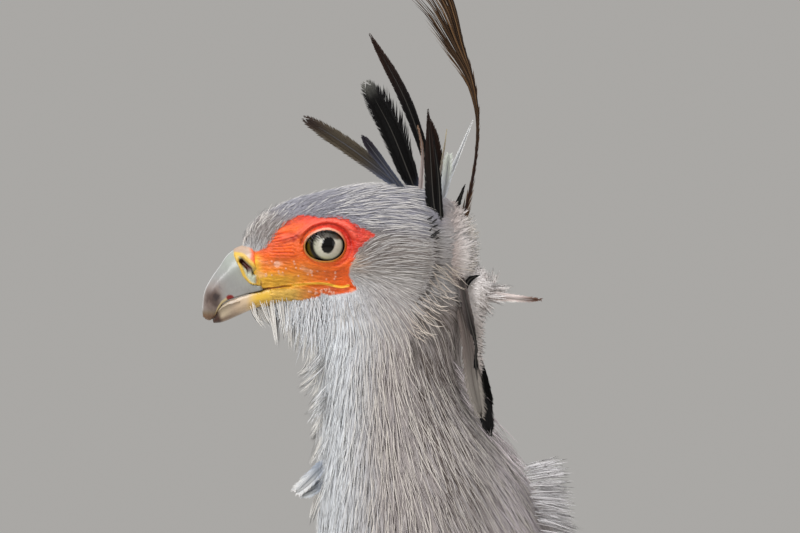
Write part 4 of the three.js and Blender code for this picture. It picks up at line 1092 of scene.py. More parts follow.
def lay_coat(name, parts, material, slot, *nodes):
    """Joins arrays of barbs or vanes into pieces, none of them too large, and gives them their finish."""
    groups, held = [[]], 0
    for part in parts:
        if held + len(part[1]) > COAT_LIMIT:
            groups.append([])
            held = 0
        groups[-1].append(part)
        held += len(part[1])
    for number, group in enumerate(groups):
        label = name if len(groups) == 1 else f"{name}_{number + 1}"
        starts = np.cumsum([0] + [len(part[0]) for part in group[:-1]])
        points, faces, tones, patches, lay, facing = [np.vstack(rows) for rows in zip(*group)]
        faces = np.vstack([part[1] + start for part, start in zip(group, starts)])
        dress(coat_piece(label, points, faces, tones, patches, lay, facing), material, slot, *nodes)


def mottled(roots, amount, seed):
    """Colours for barbs: the markings, each barb a little lighter or darker than the next."""
    draw = np.random.default_rng(seed)
    return markings(roots) * (1 + amount * draw.normal(size=(len(roots), 1)))


silk = finish("silky_barbs", 0.72, sheen=0.25)


def on_head(points):
    x, y, z = points.T
    dressed = smooth(-1.6, -0.6, np.where(np.abs(x) > 3, face_margin(points), 5))
    return dressed * (z > -52) * (y > -47.5) * (z > np.where(y < -36, -4.5, -34 - 0.2 * (y + 40)))


HEAD_BARBS = 7000
head_parts = []
for batch in range(5):
    roots, facing = scatter(HEAD_BARBS, on_head)
    x, y, z = roots.T
    clear = np.where(np.abs(x) > 3, face_margin(roots), 12)
    size = np.clip(3.4 + 0.45 * clear, 3.4, 9) + 2.5 * smooth(10, -30, z)
    size *= 0.75 + 0.5 * RNG.random(len(roots))
    swing = (
        RNG.normal(size=roots.shape) * 0.05 + 0.07 * waves(roots, 8, 44)[:, None] * np.array([0.3, 0.3, 1])
    )
    ear = past_ear(y, z)
    edge = smooth(-5, -1, ear) * smooth(-34, -20, z) * smooth(14, 6, z)
    before_ear = (ear < 0) & (z > -36) & (z < 12) & (y > 36)
    size = np.where(before_ear, np.minimum(size, 0.5 + 3.5 * RNG.random(len(ear)) ** 1.5 - ear), size)
    stand = 0.5 + 0.8 * RNG.random(len(roots)) ** 2 + 1.2 * edge
    lines, normals = runs(roots, facing, size, stand, 2, swing)
    width = 0.34 + 0.16 * RNG.random(len(roots))
    tones = mottled(roots, 0.05, 41 + batch)
    streak = RNG.random((len(roots), 1))
    tones = np.where((streak < 0.12) & (z[:, None] > 4), tones * 0.68, tones)
    pale = colour(222, 221, 224)
    tips = tones * 0.85 + pale * 0.15
    tips = tips + (pale - tips) * 0.75 * edge[:, None]
    tones = np.where(streak > 0.93, tones * 0.6 + pale * 0.4, tones)
    head_parts.append(barbs(lines, normals, width, roots, tones, tips))

# Long pale ones lie over them, straightest on the cheek behind the eye.
def long_ones(points):
    x, y, z = points.T
    return on_head(points) * (0.35 + smooth(0, 8, y)) * (face_margin(points) > 0.5) * (past_ear(y, z) < -4)


roots, facing = scatter(1500, long_ones)
size = (8 + 8 * RNG.random(len(roots))) * (0.55 + 0.45 * smooth(-10, 6, roots[:, 1]))
stand = 1.4 + 0.9 * RNG.random(len(roots))
lines, normals = runs(roots, facing, size, stand, 4, RNG.normal(size=roots.shape) * 0.07)
tones = mix(colour(190, 188, 190), colour(226, 222, 218), RNG.random(len(roots)))
head_parts.append(barbs(lines, normals, 0.3 + 0.16 * RNG.random(len(roots)), roots, tones * 0.94, tones))


def curled(roots, size, first, last, fan_out, rings=9):
    """Lines that bend evenly from one slope to another as they run, in degrees above the level, rearward."""
    t = np.linspace(0, 1, rings)[None]
    angle = np.radians(first[:, None] + (last - first)[:, None] * t**1.2)
    step = (size / (rings - 1))[:, None]
    start = np.zeros((len(roots), 1))
    back = np.hstack([start, np.cumsum(np.cos(angle[:, 1:]) * step, axis=1)])
    rise = np.hstack([start, np.cumsum(np.sin(angle[:, 1:]) * step, axis=1)])
    aside = fan_out[:, None] * size[:, None] * t**1.5
    return roots[:, None] + np.stack([aside, back, rise], axis=2)


# Over the forehead loose ones stand up from the root of the bill and curl back, and a few dark ones lie
# behind the crown.
for count, front, rear, long, seed in [
    (520, -46, -33, (13.0, 6.5), 121), (210, -40, -22, (9.5, 5.0), 122), (26, -45, -30, (15.5, 11.0), 123),
]:
    draw = np.random.default_rng(seed)
    y = front + (rear - front) * draw.random(count) ** 0.9
    x = (draw.random(count) * 2 - 1) * np.interp(y, [-46, -40, -22], [5.5, 9, 13])
    roots, facing = on_skin(np.stack([x, y, 20 - np.interp(y, [-46, -22], [21, 0])], axis=1))
    size = np.interp(y, [front, rear], long) * (0.7 + 0.4 * draw.random(count))
    first = np.interp(y, [-46, -36, -22], [112, 80, 48]) + 14 * draw.normal(size=count)
    last = np.interp(y, [-46, -36, -22], [-5, 14, 16]) + 26 * draw.normal(size=count)
    lines = curled(roots - 0.8 * facing, size, first, last, 0.10 * draw.normal(size=count) + 0.018 * x)
    light = draw.random(count) ** 0.8
    tones = mix(colour(106, 101, 104), colour(238, 232, 226), light)
    normals = np.repeat(ways(0.8 * np.sign(x), -0.4, 0.5)[:, None], 9, 1)
    head_parts.append(barbs(lines, normals, 0.26 + 0.16 * draw.random(count), roots, tones * 0.95, tones))
draw = np.random.default_rng(129)
ear_y, ear_z = 54 + 6 * draw.random(30), 2.5 + 12.5 * draw.random(30)
roots, facing = on_skin(np.stack([np.where(np.arange(30) % 2, 24, -24), ear_y, ear_z], axis=1))
aim = ways(0.15 * np.sign(roots[:, 0]), 1, 0.5 + 0.3 * draw.normal(size=30))
t = np.linspace(0, 1, 5)[None, :, None]
size = 2.2 + 2.6 * draw.random(30)
lines = roots[:, None] + facing[:, None] * 1.9 + aim[:, None] * size[:, None, None] * t
head_parts.append(barbs(lines, np.repeat(facing[:, None], 5, 1), 0.75 + 0.4 * draw.random(30), roots,
                        np.tile(colour(34, 30, 32), (30, 1)), np.tile(colour(14, 12, 12), (30, 1))))


def behind_ear_low(points):
    x, y, z = points.T
    ear = past_ear(y, z)
    return smooth(-2, 1, ear) * smooth(14, 8, ear) * (z > -46) * (z < -8) * (np.abs(x) > 8)


roots, facing = scatter(150, behind_ear_low)
count = len(roots)
size = 7 + 9 * draw.random(count)
first = -56 + 14 * draw.normal(size=count)
last = -24 + 22 * draw.normal(size=count)
aside = 0.12 * np.sign(roots[:, 0]) + 0.08 * draw.normal(size=count)
lines = curled(roots + 0.6 * facing, size, first, last, aside)
tones = mix(colour(206, 192, 180), colour(236, 226, 214), draw.random(count))
width = 0.34 + 0.16 * draw.random(count)
head_parts.append(barbs(lines, np.repeat(facing[:, None], 9, 1), width, roots, tones * 0.9, tones))
lay_coat("coat_head", head_parts, silk, "plumage")


# The plumes of the crest: stiff black and ash-brown feathers on thin shafts, slender at the root and wider
# towards a soft rounded end, set in the back of the crown; two more lie down the back of the neck.
def vanes(lines, normals, half, outline, camber, roots, tones, edge_tones, thick=0.35):
    """Closed leaf-shaped feathers along the lines, arched across, as arrays for coat_piece."""
    rings = lines.shape[1]
    ahead = unit(np.gradient(lines, axis=1))
    across = unit(np.cross(normals, ahead))
    up = np.cross(ahead, across)
    share = np.linspace(0, 1, rings)
    width = half[:, None] * outline(share)[None]
    ribs = [(-1, 0), (-0.5, 0.75), (0, 1), (0.5, 0.75), (1, 0)]
    ring = []
    for aside, rise in ribs:
        height = camber[:, None] * rise * np.minimum(1, width / half[:, None])
        ring.append(lines + across * (aside * width)[..., None] + up * height[..., None])
    ribs.append((0, 0))
    ring.append(lines + up * (camber * 0.5 - thick)[:, None, None])
    ring = np.stack(ring, axis=2)
    points, faces = tapered(ring, lines[:, -1], 1)
    along = np.append(np.repeat(share[:-1], len(ribs)), 1)
    beside = np.append(np.tile([r[0] for r in ribs], rings - 1), 0)
    edge = np.clip(np.maximum(np.abs(beside) ** 2, smooth(0.7, 1.0, along)), 0, 1)
    shade = tones[:, None] * (1 - edge[None, :, None]) + edge_tones[:, None] * edge[None, :, None]
    spot = np.stack([0.5 + 0.5 * beside, along], axis=1)
    patches = unwrap(roots)[:, None] + (spot[None] - 0.5) * PATCH
    length = np.linalg.norm(np.diff(lines, axis=1), axis=2).sum(axis=1)
    reach = along[None] * length[:, None]
    off = np.abs(beside)[None] * half[:, None]
    lay = np.stack([reach + off, beside[None] * half[:, None], reach], axis=2)
    return points, faces, shade.reshape(-1, 3), patches.reshape(-1, 2), lay.reshape(-1, 3), 0 * points


def leaf(t):
    return (
        np.sin(np.pi * np.clip(0.12 + 0.80 * t, 0, 1)) ** 0.6
        * np.sqrt(np.clip(1.04 - t, 0, 1) * 5).clip(0, 1)
    )


def web(name, roughness, bars=1.9, depth=0.00045):
    """A feather's finish: its tint, lined by fine barbs that run out and forward from the shaft."""
    material = finish(name, roughness, specular=0.15)
    lay = material.node_tree.nodes.new("ShaderNodeAttribute")
    lay.attribute_name = "lay"
    wave = material.node_tree.nodes.new("ShaderNodeTexWave")
    wave.wave_type = "BANDS"
    wave.bands_direction = "X"
    for socket, value in [("Scale", bars / 3), ("Distortion", 2.2), ("Detail", 3), ("Detail Scale", 0.6)]:
        wave.inputs[socket].default_value = value
    grained(material, wave, lay.outputs["Vector"], "Fac", (0.86, 1.08), depth, 0.8)
    return material


def rounded(t):
    return np.interp(
        t, [0, 0.12, 0.35, 0.6, 0.8, 0.9, 0.96, 1], [0.22, 0.42, 0.8, 1.0, 0.92, 0.72, 0.46, 0.10],
    )


def pointed(t):
    return np.interp(t, [0, 0.1, 0.4, 0.62, 0.8, 0.92, 1], [0.45, 0.55, 0.72, 1.0, 0.86, 0.46, 0.05])


def bladed(t):
    return np.interp(t, [0, 0.1, 0.28, 0.5, 0.7, 0.88, 1], [0.25, 0.62, 1.0, 0.92, 0.62, 0.30, 0.05])


def spike(t):
    return np.interp(t, [0, 0.2, 0.5, 0.8, 1], [0.7, 1.0, 0.75, 0.4, 0.05])


TAUPE, SLATE, SOOT, UMBER = colour(80, 72, 60), colour(72, 76, 90), colour(7, 6, 7), colour(44, 27, 20)
WHITE = colour(238, 240, 242)


def heading_of(line, t):
    """Which way a smooth line runs at t, from 0 to 1."""
    return unit(through(line, np.minimum(t + 0.01, 1)) - through(line, np.maximum(t - 0.01, 0)))


LEFT = np.array([1.0, 0, 0])
PLUME_FACING = np.array([1.0, 0.06, 0.12])


def plume(line, x, half, outline, tones, seed, fringe=1.0, ragged=None):
    """One feather of the crest: a closed vane that is arched across, edged with fine free barbs."""
    draw = np.random.default_rng(seed)
    line = np.array(line, float)
    across_x = np.interp(np.linspace(0, 1, len(line)), np.linspace(0, 1, len(x)), x)
    shaft = np.stack([across_x, line[:, 0], line[:, 1]], axis=1)
    length = np.sum(np.linalg.norm(np.diff(shaft, axis=0), axis=1))
    rings = 30
    t = np.linspace(0, 1, rings)
    path = through(shaft, t * 0.985)[None]
    facing = np.tile(PLUME_FACING, (1, rings, 1))
    root = shaft[:1]
    plain = tones(np.zeros(1))
    body = list(vanes(path, facing, np.array([half * 0.82]), outline, np.array([0.5]), root, plain, plain))
    reach = body[4][:, 2] / max(body[4][:, 2].max(), 1e-6)
    beside = np.abs(body[4][:, 1]) / (half * 0.82)
    body[2] = tones(reach) * (1 - 0.25 * smooth(0.3, 0.0, beside))[:, None]
    parts = [tuple(body)]
    count = int(length / 0.42)
    for hand in (-1, 1):
        share = np.clip((np.arange(count) + 0.6 * draw.random(count)) / count, 0.02, 0.992)
        base = through(shaft, share)
        ahead = heading_of(shaft, share)
        wide = unit(np.cross(PLUME_FACING, ahead)) * hand
        edge = outline(share) * half
        start = edge * 0.55
        run = (edge - start) * (1.0 + 0.12 * draw.random(count)) + fringe * draw.random(count) ** 2
        if ragged is not None:
            run = run + ragged(hand, share) * draw.random(count)
        lean = 1.7 + 0.2 * draw.normal(size=count)
        wave = draw.normal(size=count) * 0.12
        curve = []
        for step in np.linspace(0, 1, 4):
            forward = run * lean * (0.6 * step + 0.4 * step**2)
            off = wide * (start + run * step)[:, None] + ahead * forward[:, None]
            curve.append(base + off + LEFT * (wave * run * step**2 + 0.12)[:, None])
        lines = np.stack(curve, axis=1)
        normals = np.tile(PLUME_FACING, (count, 4, 1))
        shade = tones(share) * (1 + 0.08 * draw.normal(size=(count, 1)))
        width, roots = 0.5 + 0.15 * draw.random(count), np.tile(root, (count, 1))
        parts.append(barbs(lines, normals, width, roots, shade, shade * 1.25, thick=0.2))
    quill = through(shaft, np.linspace(0, 0.9, 20))[None] + 0.55 * LEFT
    tone = tones(np.array([0.4])) * 0.7 + colour(150, 146, 140) * 0.18
    width = np.array([0.7])
    parts.append(barbs(quill, np.tile(LEFT, (1, 20, 1)), width, root, tone, tone * 0.8, thick=0.4))
    return parts


def two_tone(root_tone, tip_tone, low=0.35, high=0.8):
    return lambda share: mix(root_tone, tip_tone, smooth(low, high, share))


def ash(share):
    tone = mix(colour(88, 94, 112), TAUPE, smooth(0.25, 0.6, share))
    return mix(tone, colour(58, 46, 42), smooth(0.75, 1.0, share))


def black_grey_tip(share):
    tone = mix(colour(74, 80, 100), SOOT, smooth(0.08, 0.32, share))
    return mix(tone, colour(108, 108, 104), smooth(0.88, 1.0, share))


def loose_side(hand, share):
    return (hand < 0) * 3.2 * smooth(0.40, 0.55, share) * smooth(0.92, 0.8, share)


BLACK_ALL, BLACK_BROWN = two_tone(SOOT, SOOT), two_tone(SOOT, UMBER)
DARK_END, BROWN_END = two_tone(SLATE, colour(44, 40, 48)), two_tone(SOOT, UMBER, 0.6, 1.0)
BUFF = two_tone(colour(186, 172, 170), colour(140, 112, 94))
CREAM = two_tone(colour(190, 180, 170), colour(196, 180, 140))
WHITE_END, DEEP_BROWN = two_tone(colour(222, 226, 232), WHITE), two_tone(SOOT, UMBER * 0.6)
PALE_GREY = two_tone(colour(196, 200, 206), colour(216, 222, 214))
CREST = [
    ([[44, 28], [33, 38], [12, 54], [-13, 70]], [5, 6, 8, 9], 4.4, rounded, ash, 0.6),
    ([[44, 28], [36, 38], [26, 51], [19, 60.5]], [9, 9, 10, 11], 2.5, pointed, DARK_END, 0.3),
    (
        [[51, 24], [45.5, 38], [35, 64], [21, 90]], [2, 3, 4, 6], 6.6, rounded, black_grey_tip, 0.5,
        loose_side,
    ),
    ([[60, 14], [56, 42], [43, 80], [23, 117]], [0, 1, 2, 0], 3.4, pointed, BROWN_END, 0.2),
    ([[61.5, 8], [58.6, 24], [57, 48], [55.5, 75]], [16, 18, 16, 12], 4.3, bladed, DEEP_BROWN, 0.2),
    ([[63.4, 4], [62.4, 18], [61, 40], [58, 62]], [17, 18, 17, 14], 1.5, bladed, BLACK_ALL, 0.2),
    ([[51, 26], [52, 38], [52.5, 52], [50, 66]], [5, 6, 6, 6], 1.0, spike, BUFF, 0.5),
    ([[56, 18], [61, 34], [64, 50], [66, 64]], [-6, -7, -8, -9], 0.6, spike, CREAM, 0.2),
    ([[60, 16], [66, 34], [73, 51], [80.5, 69]], [-3, -4, -6, -9], 1.7, spike, WHITE_END, 0.3),
    ([[60, 14], [64, 28], [66, 40], [67, 50]], [4, 5, 4, 3], 2.2, rounded, PALE_GREY, 1.2),
    ([[69.4, 15], [71, 20], [73.4, 26.5], [76, 33.5]], [3, 3, 2, 1], 1.7, spike, BLACK_ALL, 0.3),
    ([[52, 20], [47, 38], [37, 62], [27, 79]], [-8, -9, -12, -15], 3.8, rounded, black_grey_tip, 0.6),
    ([[60, 8], [61, 28], [60, 50], [56.5, 70]], [-12, -14, -15, -17], 3.4, pointed, BLACK_BROWN, 0.3),
]
crest_parts = []
for number, (line, x, half, outline, tones, edge, *ragged) in enumerate(CREST):
    crest_parts += plume(line, x, half, outline, tones, 100 + number, edge, *ragged)

# The tallest plume: a bare brown shaft that opens into long loose barbs on its front side, in strands with
# gaps between them.
draw = np.random.default_rng(140)
BANNER = [
    [4, 71, 2], [4, 74.6, 14], [4, 79.2, 32], [4, 82, 50], [4, 83, 70], [4, 80.6, 90], [4, 75, 110],
    [3, 69.5, 134], [2, 58, 160],
]
BANNER_ROOT = np.array(BANNER[:1], float)
steps = np.linspace(0, 1, 12)
lines, widths, shades = [], [], []
for strand, share_out in enumerate([0.0, 0.06, 0.13, 0.2, 0.3, 0.4, 0.47, 0.6, 0.68, 0.8, 0.92, 1.0]):
    for _ in range(16 if strand < 4 else 11):
        first = 0.20 + 0.42 * draw.random() * (1 - 0.3 * share_out) + 0.03 * draw.normal()
        last = min(1.0, first + 0.38 + 0.24 * draw.random())
        at = first + (last - first) * steps
        opening = np.interp(at, [0.2, 0.5, 0.62, 0.72, 0.82, 0.92, 1.0], [0, 1.8, 4.8, 10, 17, 21, 23])
        left = opening * np.clip(share_out + 0.03 * draw.normal(), 0, 1.05) * steps**1.25
        place = through(BANNER, at)
        ahead = heading_of(BANNER, at)
        wide = unit(np.cross(ahead, LEFT))
        wide *= np.sign(-wide[:, 1:2])
        sway = LEFT * (draw.normal() * 1.6 * steps**2)[:, None]
        lines.append(place + wide * left[:, None] + sway)
        widths.append(0.55 + 0.5 * draw.random())
        shades.append(mix(colour(30, 20, 16), colour(104, 78, 52), draw.random() ** 2.5))
lines, shades = np.array(lines), np.array(shades)
normals = np.tile(np.array([1.0, 0.1, 0.1]), (len(lines), 12, 1))
roots = np.tile(BANNER_ROOT, (len(lines), 1))
crest_parts.append(barbs(lines, normals, np.array(widths), roots, shades, shades * 1.3, thick=0.25))
line = through(BANNER, np.linspace(0, 1, 40))[None]
shaft, shaft_tip = colour(44, 24, 18)[None], colour(24, 16, 14)[None]
half = np.array([1.6])
crest_parts.append(barbs(line, np.tile(LEFT, (1, 40, 1)), half, BANNER_ROOT, shaft, shaft_tip, thick=0.45))
count = 260
share = draw.random(count) * 0.75
base = through(BANNER, share)
ahead = unit(through(BANNER, share + 0.01) - through(BANNER, np.maximum(share - 0.01, 0)))
hand = np.where(draw.random(count) < 0.5, -1.0, 1.0)
run = 4.5 * smooth(0.30, 0.0, share) + 1.6 + 2.2 * draw.random(count)
wide = unit(np.cross(ahead, LEFT)) * hand[:, None]
lines = [
    base + ahead * (run * 2.2 * t)[:, None] + wide * (run * 0.32 * t)[:, None] for t in np.linspace(0, 1, 4)
]
tone = mix(colour(34, 20, 14), colour(118, 88, 62), draw.random(count) ** 1.5)
width = 0.3 + 0.2 * draw.random(count)
normals, roots = np.tile(LEFT, (count, 4, 1)), np.tile(BANNER_ROOT, (count, 1))
crest_parts.append(barbs(np.stack(lines, axis=1), normals, width, roots, tone, tone, thick=0.3))
crest_web = web("crest_feather", 0.5, bars=2.6, depth=0.0002)
lay_coat("crest", crest_parts, crest_web, "plumage")


# The long plumes that hang down behind the neck, black along one side and ash grey along the other, and the
# brown-tipped one that stands out behind.
def hanging(share):
    return mix(colour(96, 88, 86), SOOT, smooth(0.15, 0.5, share))


def willow(t):
    return np.interp(
        t, [0, 0.10, 0.2, 0.34, 0.46, 0.58, 0.7, 0.84, 0.93, 1],
        [0.2, 0.3, 0.5, 0.52, 0.14, 0.12, 0.6, 1.0, 0.7, 0.05],
    )


def soft_side(t):
    return np.interp(t, [0, 0.2, 0.5, 0.8, 0.93, 1], [0.35, 0.6, 0.95, 1.0, 0.6, 0.05])


def stand_out(share):
    return mix(colour(240, 226, 222), colour(100, 72, 60), smooth(0.6, 0.92, share))


LONG_LINE = [
    [64, -8], [73, -17], [76, -30], [79, -43.5], [81.8, -55], [81.8, -66], [84.0, -81], [87.2, -93],
    [89.6, -104.8],
]
SOFT_LINE = [[73, -34], [76, -46], [78.6, -62], [80.4, -76], [85, -95]]
FAR_LINE = [[60, -8], [74, -24], [81, -48], [86, -74], [89, -97]]
ASH_GREY = two_tone(colour(112, 102, 98), colour(136, 130, 124))
hang_parts = []
for line, x, half, outline, tones, seed, edge in [
    (LONG_LINE, [13, 13, 15, 17, 19, 20, 22, 25, 29], 4.3, willow, hanging, 150, 0.5),
    (SOFT_LINE, [13, 16, 19, 22, 26], 4.0, soft_side, ASH_GREY, 151, 1.4),
    (FAR_LINE, [-14, -18, -22, -25, -31], 4.0, willow, hanging, 152, 0.5),
    (
        [[76.2, -25], [77.4, -20.5], [80, -18], [84.4, -16.4]], [13, 13, 12, 9], 1.6, bladed, BLACK_ALL,
        153, 0.1,
    ),
    ([[72, -24], [88, -27], [104, -29.4], [118, -30.2]], [2, 3, 4, 4], 2.9, spike, stand_out, 154, 0.8),
]:
    hang_parts += plume(line, x, half, outline, tones, seed, edge)
lay_coat("hind_plumes", hang_parts, crest_web, "plumage")

# The nape's tuft: a puff of pinkish-white down behind the crest, edged behind with a comb of fine spikes, and
# under it a second, whiter one that tapers down the back of the neck.
def fan(count, root, spread, length, way, turn, tone, seed, droop=0.35, width=0.4, rings=6, bow=0.10):
    """Loose threads from about one place, in a fan about one way, each with a bend of its own."""
    draw = np.random.default_rng(seed)
    start = np.asarray(root, float) + draw.normal(size=(count, 3)) * np.asarray(spread, float)
    heading = unit(np.asarray(way, float) + draw.normal(size=(count, 3)) * np.asarray(turn, float))
    size = length * (0.6 + 0.5 * draw.random(count))
    fall = droop * (0.4 + 0.9 * draw.random(count))
    side = unit(draw.normal(size=(count, 3)))
    t = np.linspace(0, 1, rings)[None, :, None]
    lines = start[:, None] + heading[:, None] * size[:, None, None] * t
    lines = lines + np.array([0, 0, -1.0]) * (size * fall)[:, None, None] * t**2
    lines = lines + side[:, None] * (size * bow)[:, None, None] * t**2
    normals = np.repeat(unit(np.cross(heading, side))[:, None], rings, 1)
    tones = np.asarray(tone) * (1 + 0.04 * draw.normal(size=(count, 1)))
    return barbs(
        lines, normals, np.full(count, width) * (0.8 + 0.4 * draw.random(count)), start, tones * 0.95,
        tones, soft=0.0,
    )


PUFF, PUFF_PALE = colour(180, 166, 162), colour(250, 244, 243)
UPPER_PUFF = [
    [0, 66, 21, 3, 2, 2], [0, 67.5, 16, 10, 6, 6], [0, 68.5, 9, 16, 8, 9.5], [0, 70, 0, 18.5, 9.5, 12],
    [0, 69.5, -10, 17.5, 9.5, 11.5], [0, 68, -18, 13, 8, 10], [0, 66, -24, 5, 4, 4],
]
LOWER_PUFF = [
    [0, 78, -15, 3, 3, 4], [0, 80.5, -19, 9, 6, 9.5], [0, 81, -26, 10, 7, 10], [0, 80, -33, 9, 5, 9],
    [0, 80, -41, 7, 3.5, 5], [0, 80.4, -48, 5, 2.5, 2.6], [0, 80.6, -58, 4, 2, 2],
    [0, 80.8, -64, 3, 1.6, 1.4], [0, 81, -69, 1, 0.6, 0.6],
]
points, faces = joined([loft(UPPER_PUFF, 60, 48), loft(LOWER_PUFF, 60, 48)])
points += 0.5 * waves(points, 4, 45)[:, None] * np.array([1, 1, 0.5])
puff = new_piece("nape_down", points, faces)
paint_points(
    puff, mix(PUFF, PUFF_PALE, smooth(69, 78, points[:, 1])) * (1 + 0.04 * waves(points, 3, 46))[:, None],
)
layer = puff.data.uv_layers.new(name="OFBake")
corner = np.zeros(len(puff.data.loops), int)
puff.data.loops.foreach_get("vertex_index", corner)
layer.data.foreach_set("uv", unwrap(points)[corner].astype(np.float32).ravel())
down = finish("down", 0.85, sheen=0.4, scale=600, relief=0.14, stretch=(1, 0.35, 1), rise=0.0008)
dress(puff, down, "plumage")
PUFF_TREE = BVHTree.FromPolygons(
    [tuple(p) for p in points], [tuple(polygon.vertices) for polygon in puff.data.polygons]
)

PUFF_THREADS = 5200
soft_parts = []
draw = np.random.default_rng(47)
pick = draw.integers(0, len(points), PUFF_THREADS)
roots = points[pick] + draw.normal(size=(len(pick), 3)) * 0.6
facing = np.array([PUFF_TREE.find_nearest(Vector(p))[1] for p in roots])
light_way = unit(facing + 0.9 * np.sign(roots[:, :1]) * LEFT + np.array([0, 0, 0.3]))
heading = facing * 0.42 + np.array([0, 0.62, 0.35]) * smooth(-24, 10, roots[:, 2])[:, None]
heading = heading + np.array([0, 0.6, -0.35]) * smooth(0, -26, roots[:, 2])[:, None]
heading = unit(heading + 0.14 * draw.normal(size=heading.shape))
size = 3.2 + 3.2 * draw.random(len(roots))
t = np.linspace(0, 1, 4)[None, :, None]
lines = roots[:, None] - facing[:, None] * 0.5 + heading[:, None] * size[:, None, None] * t
lines = lines - facing[:, None] * (0.15 * size)[:, None, None] * t**2
tone = mix(PUFF, PUFF_PALE, np.clip(smooth(68, 79, roots[:, 1]) + 0.2 * draw.random(len(roots)), 0, 1))
tone = mix(tone, colour(236, 226, 222), 0.8 * smooth(-36, -46, roots[:, 2]))
# Painted shade: the puff's threads darker brown-grey at its front, in the groove against the head.
tone = mix(tone, colour(136, 124, 118), smooth(66.5, 61, roots[:, 1]) * 0.9)
width = 0.34 + 0.12 * draw.random(len(roots))
soft_parts.append(barbs(lines, np.repeat(light_way[:, None], 4, 1), width, roots, tone * 0.97, tone))
for height, reach_y, up in [
    (17, 71, 0.9), (14, 75, 0.75), (11, 77.5, 0.6), (8, 79, 0.5), (5, 80, 0.42), (1, 80.6, 0.35),
    (-3, 81, 0.3), (-7, 80.6, 0.22), (-11, 80.6, 0.12), (-14, 80, 0.0),
]:
    for x in (-7, 0, 7):
        root, way = (x, reach_y - 2.0 - abs(x) * 0.3, height), (x * 0.03, 1, up)
        soft_parts.append(fan(14, root, (2.2, 0.6, 1.4), 6.2, way, (0.1, 0.1, 0.1), colour(240, 234, 226),
                              200 + height * 3 + x, droop=0.0, width=0.5, bow=0.05))
for root, way, reach, count in [
    ((2, 84, -17), (0.05, 0.1, 1.0), 4.5, 20), ((3, 91, -20), (0.1, 0.3, 1.0), 6, 16),
    ((3, 87, -19), (0.1, 0.1, 1.0), 4, 24), ((0, 89, -24), (0.05, 1, 0.12), 11, 60),
    ((4, 88, -28), (0.1, 1, -0.1), 10, 60), ((-4, 88, -26), (-0.1, 1, 0.0), 12, 40),
    ((2, 84, -33), (0.1, 0.8, -0.7), 8, 50), ((0, 80, -42), (0.05, 0.3, -1), 8, 40),
    ((0, 66, 17), (0.0, 0.15, 1.0), 6, 26), ((-5, 64, 17), (-0.1, 0.2, 1.0), 7, 26),
    ((6, 66, 14), (0.15, 0.2, 1.0), 6, 24), ((10, 60, 12), (0.4, 0.5, 0.8), 7, 24),
]:
    soft_parts.append(fan(count, root, (1.8, 1.8, 1.2), reach, way, (0.10, 0.10, 0.08), PUFF_PALE,
                          int(300 + reach * 3 + root[1]), droop=0.0, width=0.55, bow=0.06))
lay_coat("coat_nape", soft_parts, silk, "plumage")

# The fringe of the chin and throat: white threads that hang from the jaw in separate locks with gaps between
# them, denser further back, where they are hooked forward at their ends.
FRINGE_THREADS = 2700
fringe = []
count = FRINGE_THREADS
draw = np.random.default_rng(51)
along = draw.random(count)
short = draw.random(count) < 0.3
root_y = -29 + 57 * along
root_x = (
    np.where(draw.random(count) < 0.5, -1, 1) * (0.15 + 0.85 * draw.random(count) ** 0.5) * (8 + 10 * along)
)
root_z = (
    np.interp(root_y, [-40, -10, 10, 28], [-32.5, -30.5, -29, -32]) + 2.5 - 5 * draw.random(count) * ~short
)
roots = np.stack([root_x, root_y, root_z], axis=1)
size = (
    np.interp(root_y, [-29, -20, -8, 28], [10, 21, 34, 30]) * (0.5 + 0.6 * draw.random(count))
    * np.where(short, 0.4, 1)
)
tilt = np.interp(root_y, [-29, -12, 6, 20], [0.75, 0.45, 0.3, 0.45]) + 0.34 * draw.normal(size=count)
tilt = tilt + 0.3 * waves(roots, 9, 52)
hook = draw.normal(size=count) * 0.10 + 0.08
t = np.linspace(0, 1, 6)[None, :, None]
drop = ways(root_x * 0.014 + 0.06 * draw.normal(size=count), tilt, -1)
lines = roots[:, None] + drop[:, None] * size[:, None, None] * t
lines = lines - np.stack([0 * hook, (0.45 * tilt + hook) * size, 0 * hook], axis=1)[:, None] * t**2
tone = mix(colour(216, 222, 230), colour(244, 246, 249), draw.random(count))
normals = np.repeat(ways(np.sign(root_x), -0.25, 0.2)[:, None], 6, 1)
fringe.append(barbs(lines, normals, 0.28 + 0.12 * draw.random(count), roots, tone * 0.97, tone))
LOCKS = [
    [(-40, -31), (-38.6, -38.4), (-34, -45.4)], [(-36.6, -30), (-33.8, -38), (-29.6, -45.6)],
    [(-31, -29), (-29.2, -41), (-27.2, -56.3)], [(-26, -29), (-24.2, -41), (-23, -53.4)],
    [(-21.4, -28), (-20, -42), (-20, -58.4)], [(-17, -28), (-15.4, -44), (-16.8, -61)],
    [(-12, -28), (-11, -46), (-13, -66)], [(-7, -28), (-7.4, -50), (-11, -70)],
    [(-4, -50), (-8.7, -66), (-16.7, -72.7)], [(-1, -54), (-5.7, -69.4), (-16.7, -78.6)],
    [(1, -62), (-3, -76), (-8.6, -84)], [(1, -68), (-3, -82), (-10.6, -91)],
    [(1, -84), (-4, -98), (-9.5, -106)], [(2, -98), (-4.5, -112), (-9, -121)],
    [(1, -128), (-5.5, -143), (-9, -154)],
]
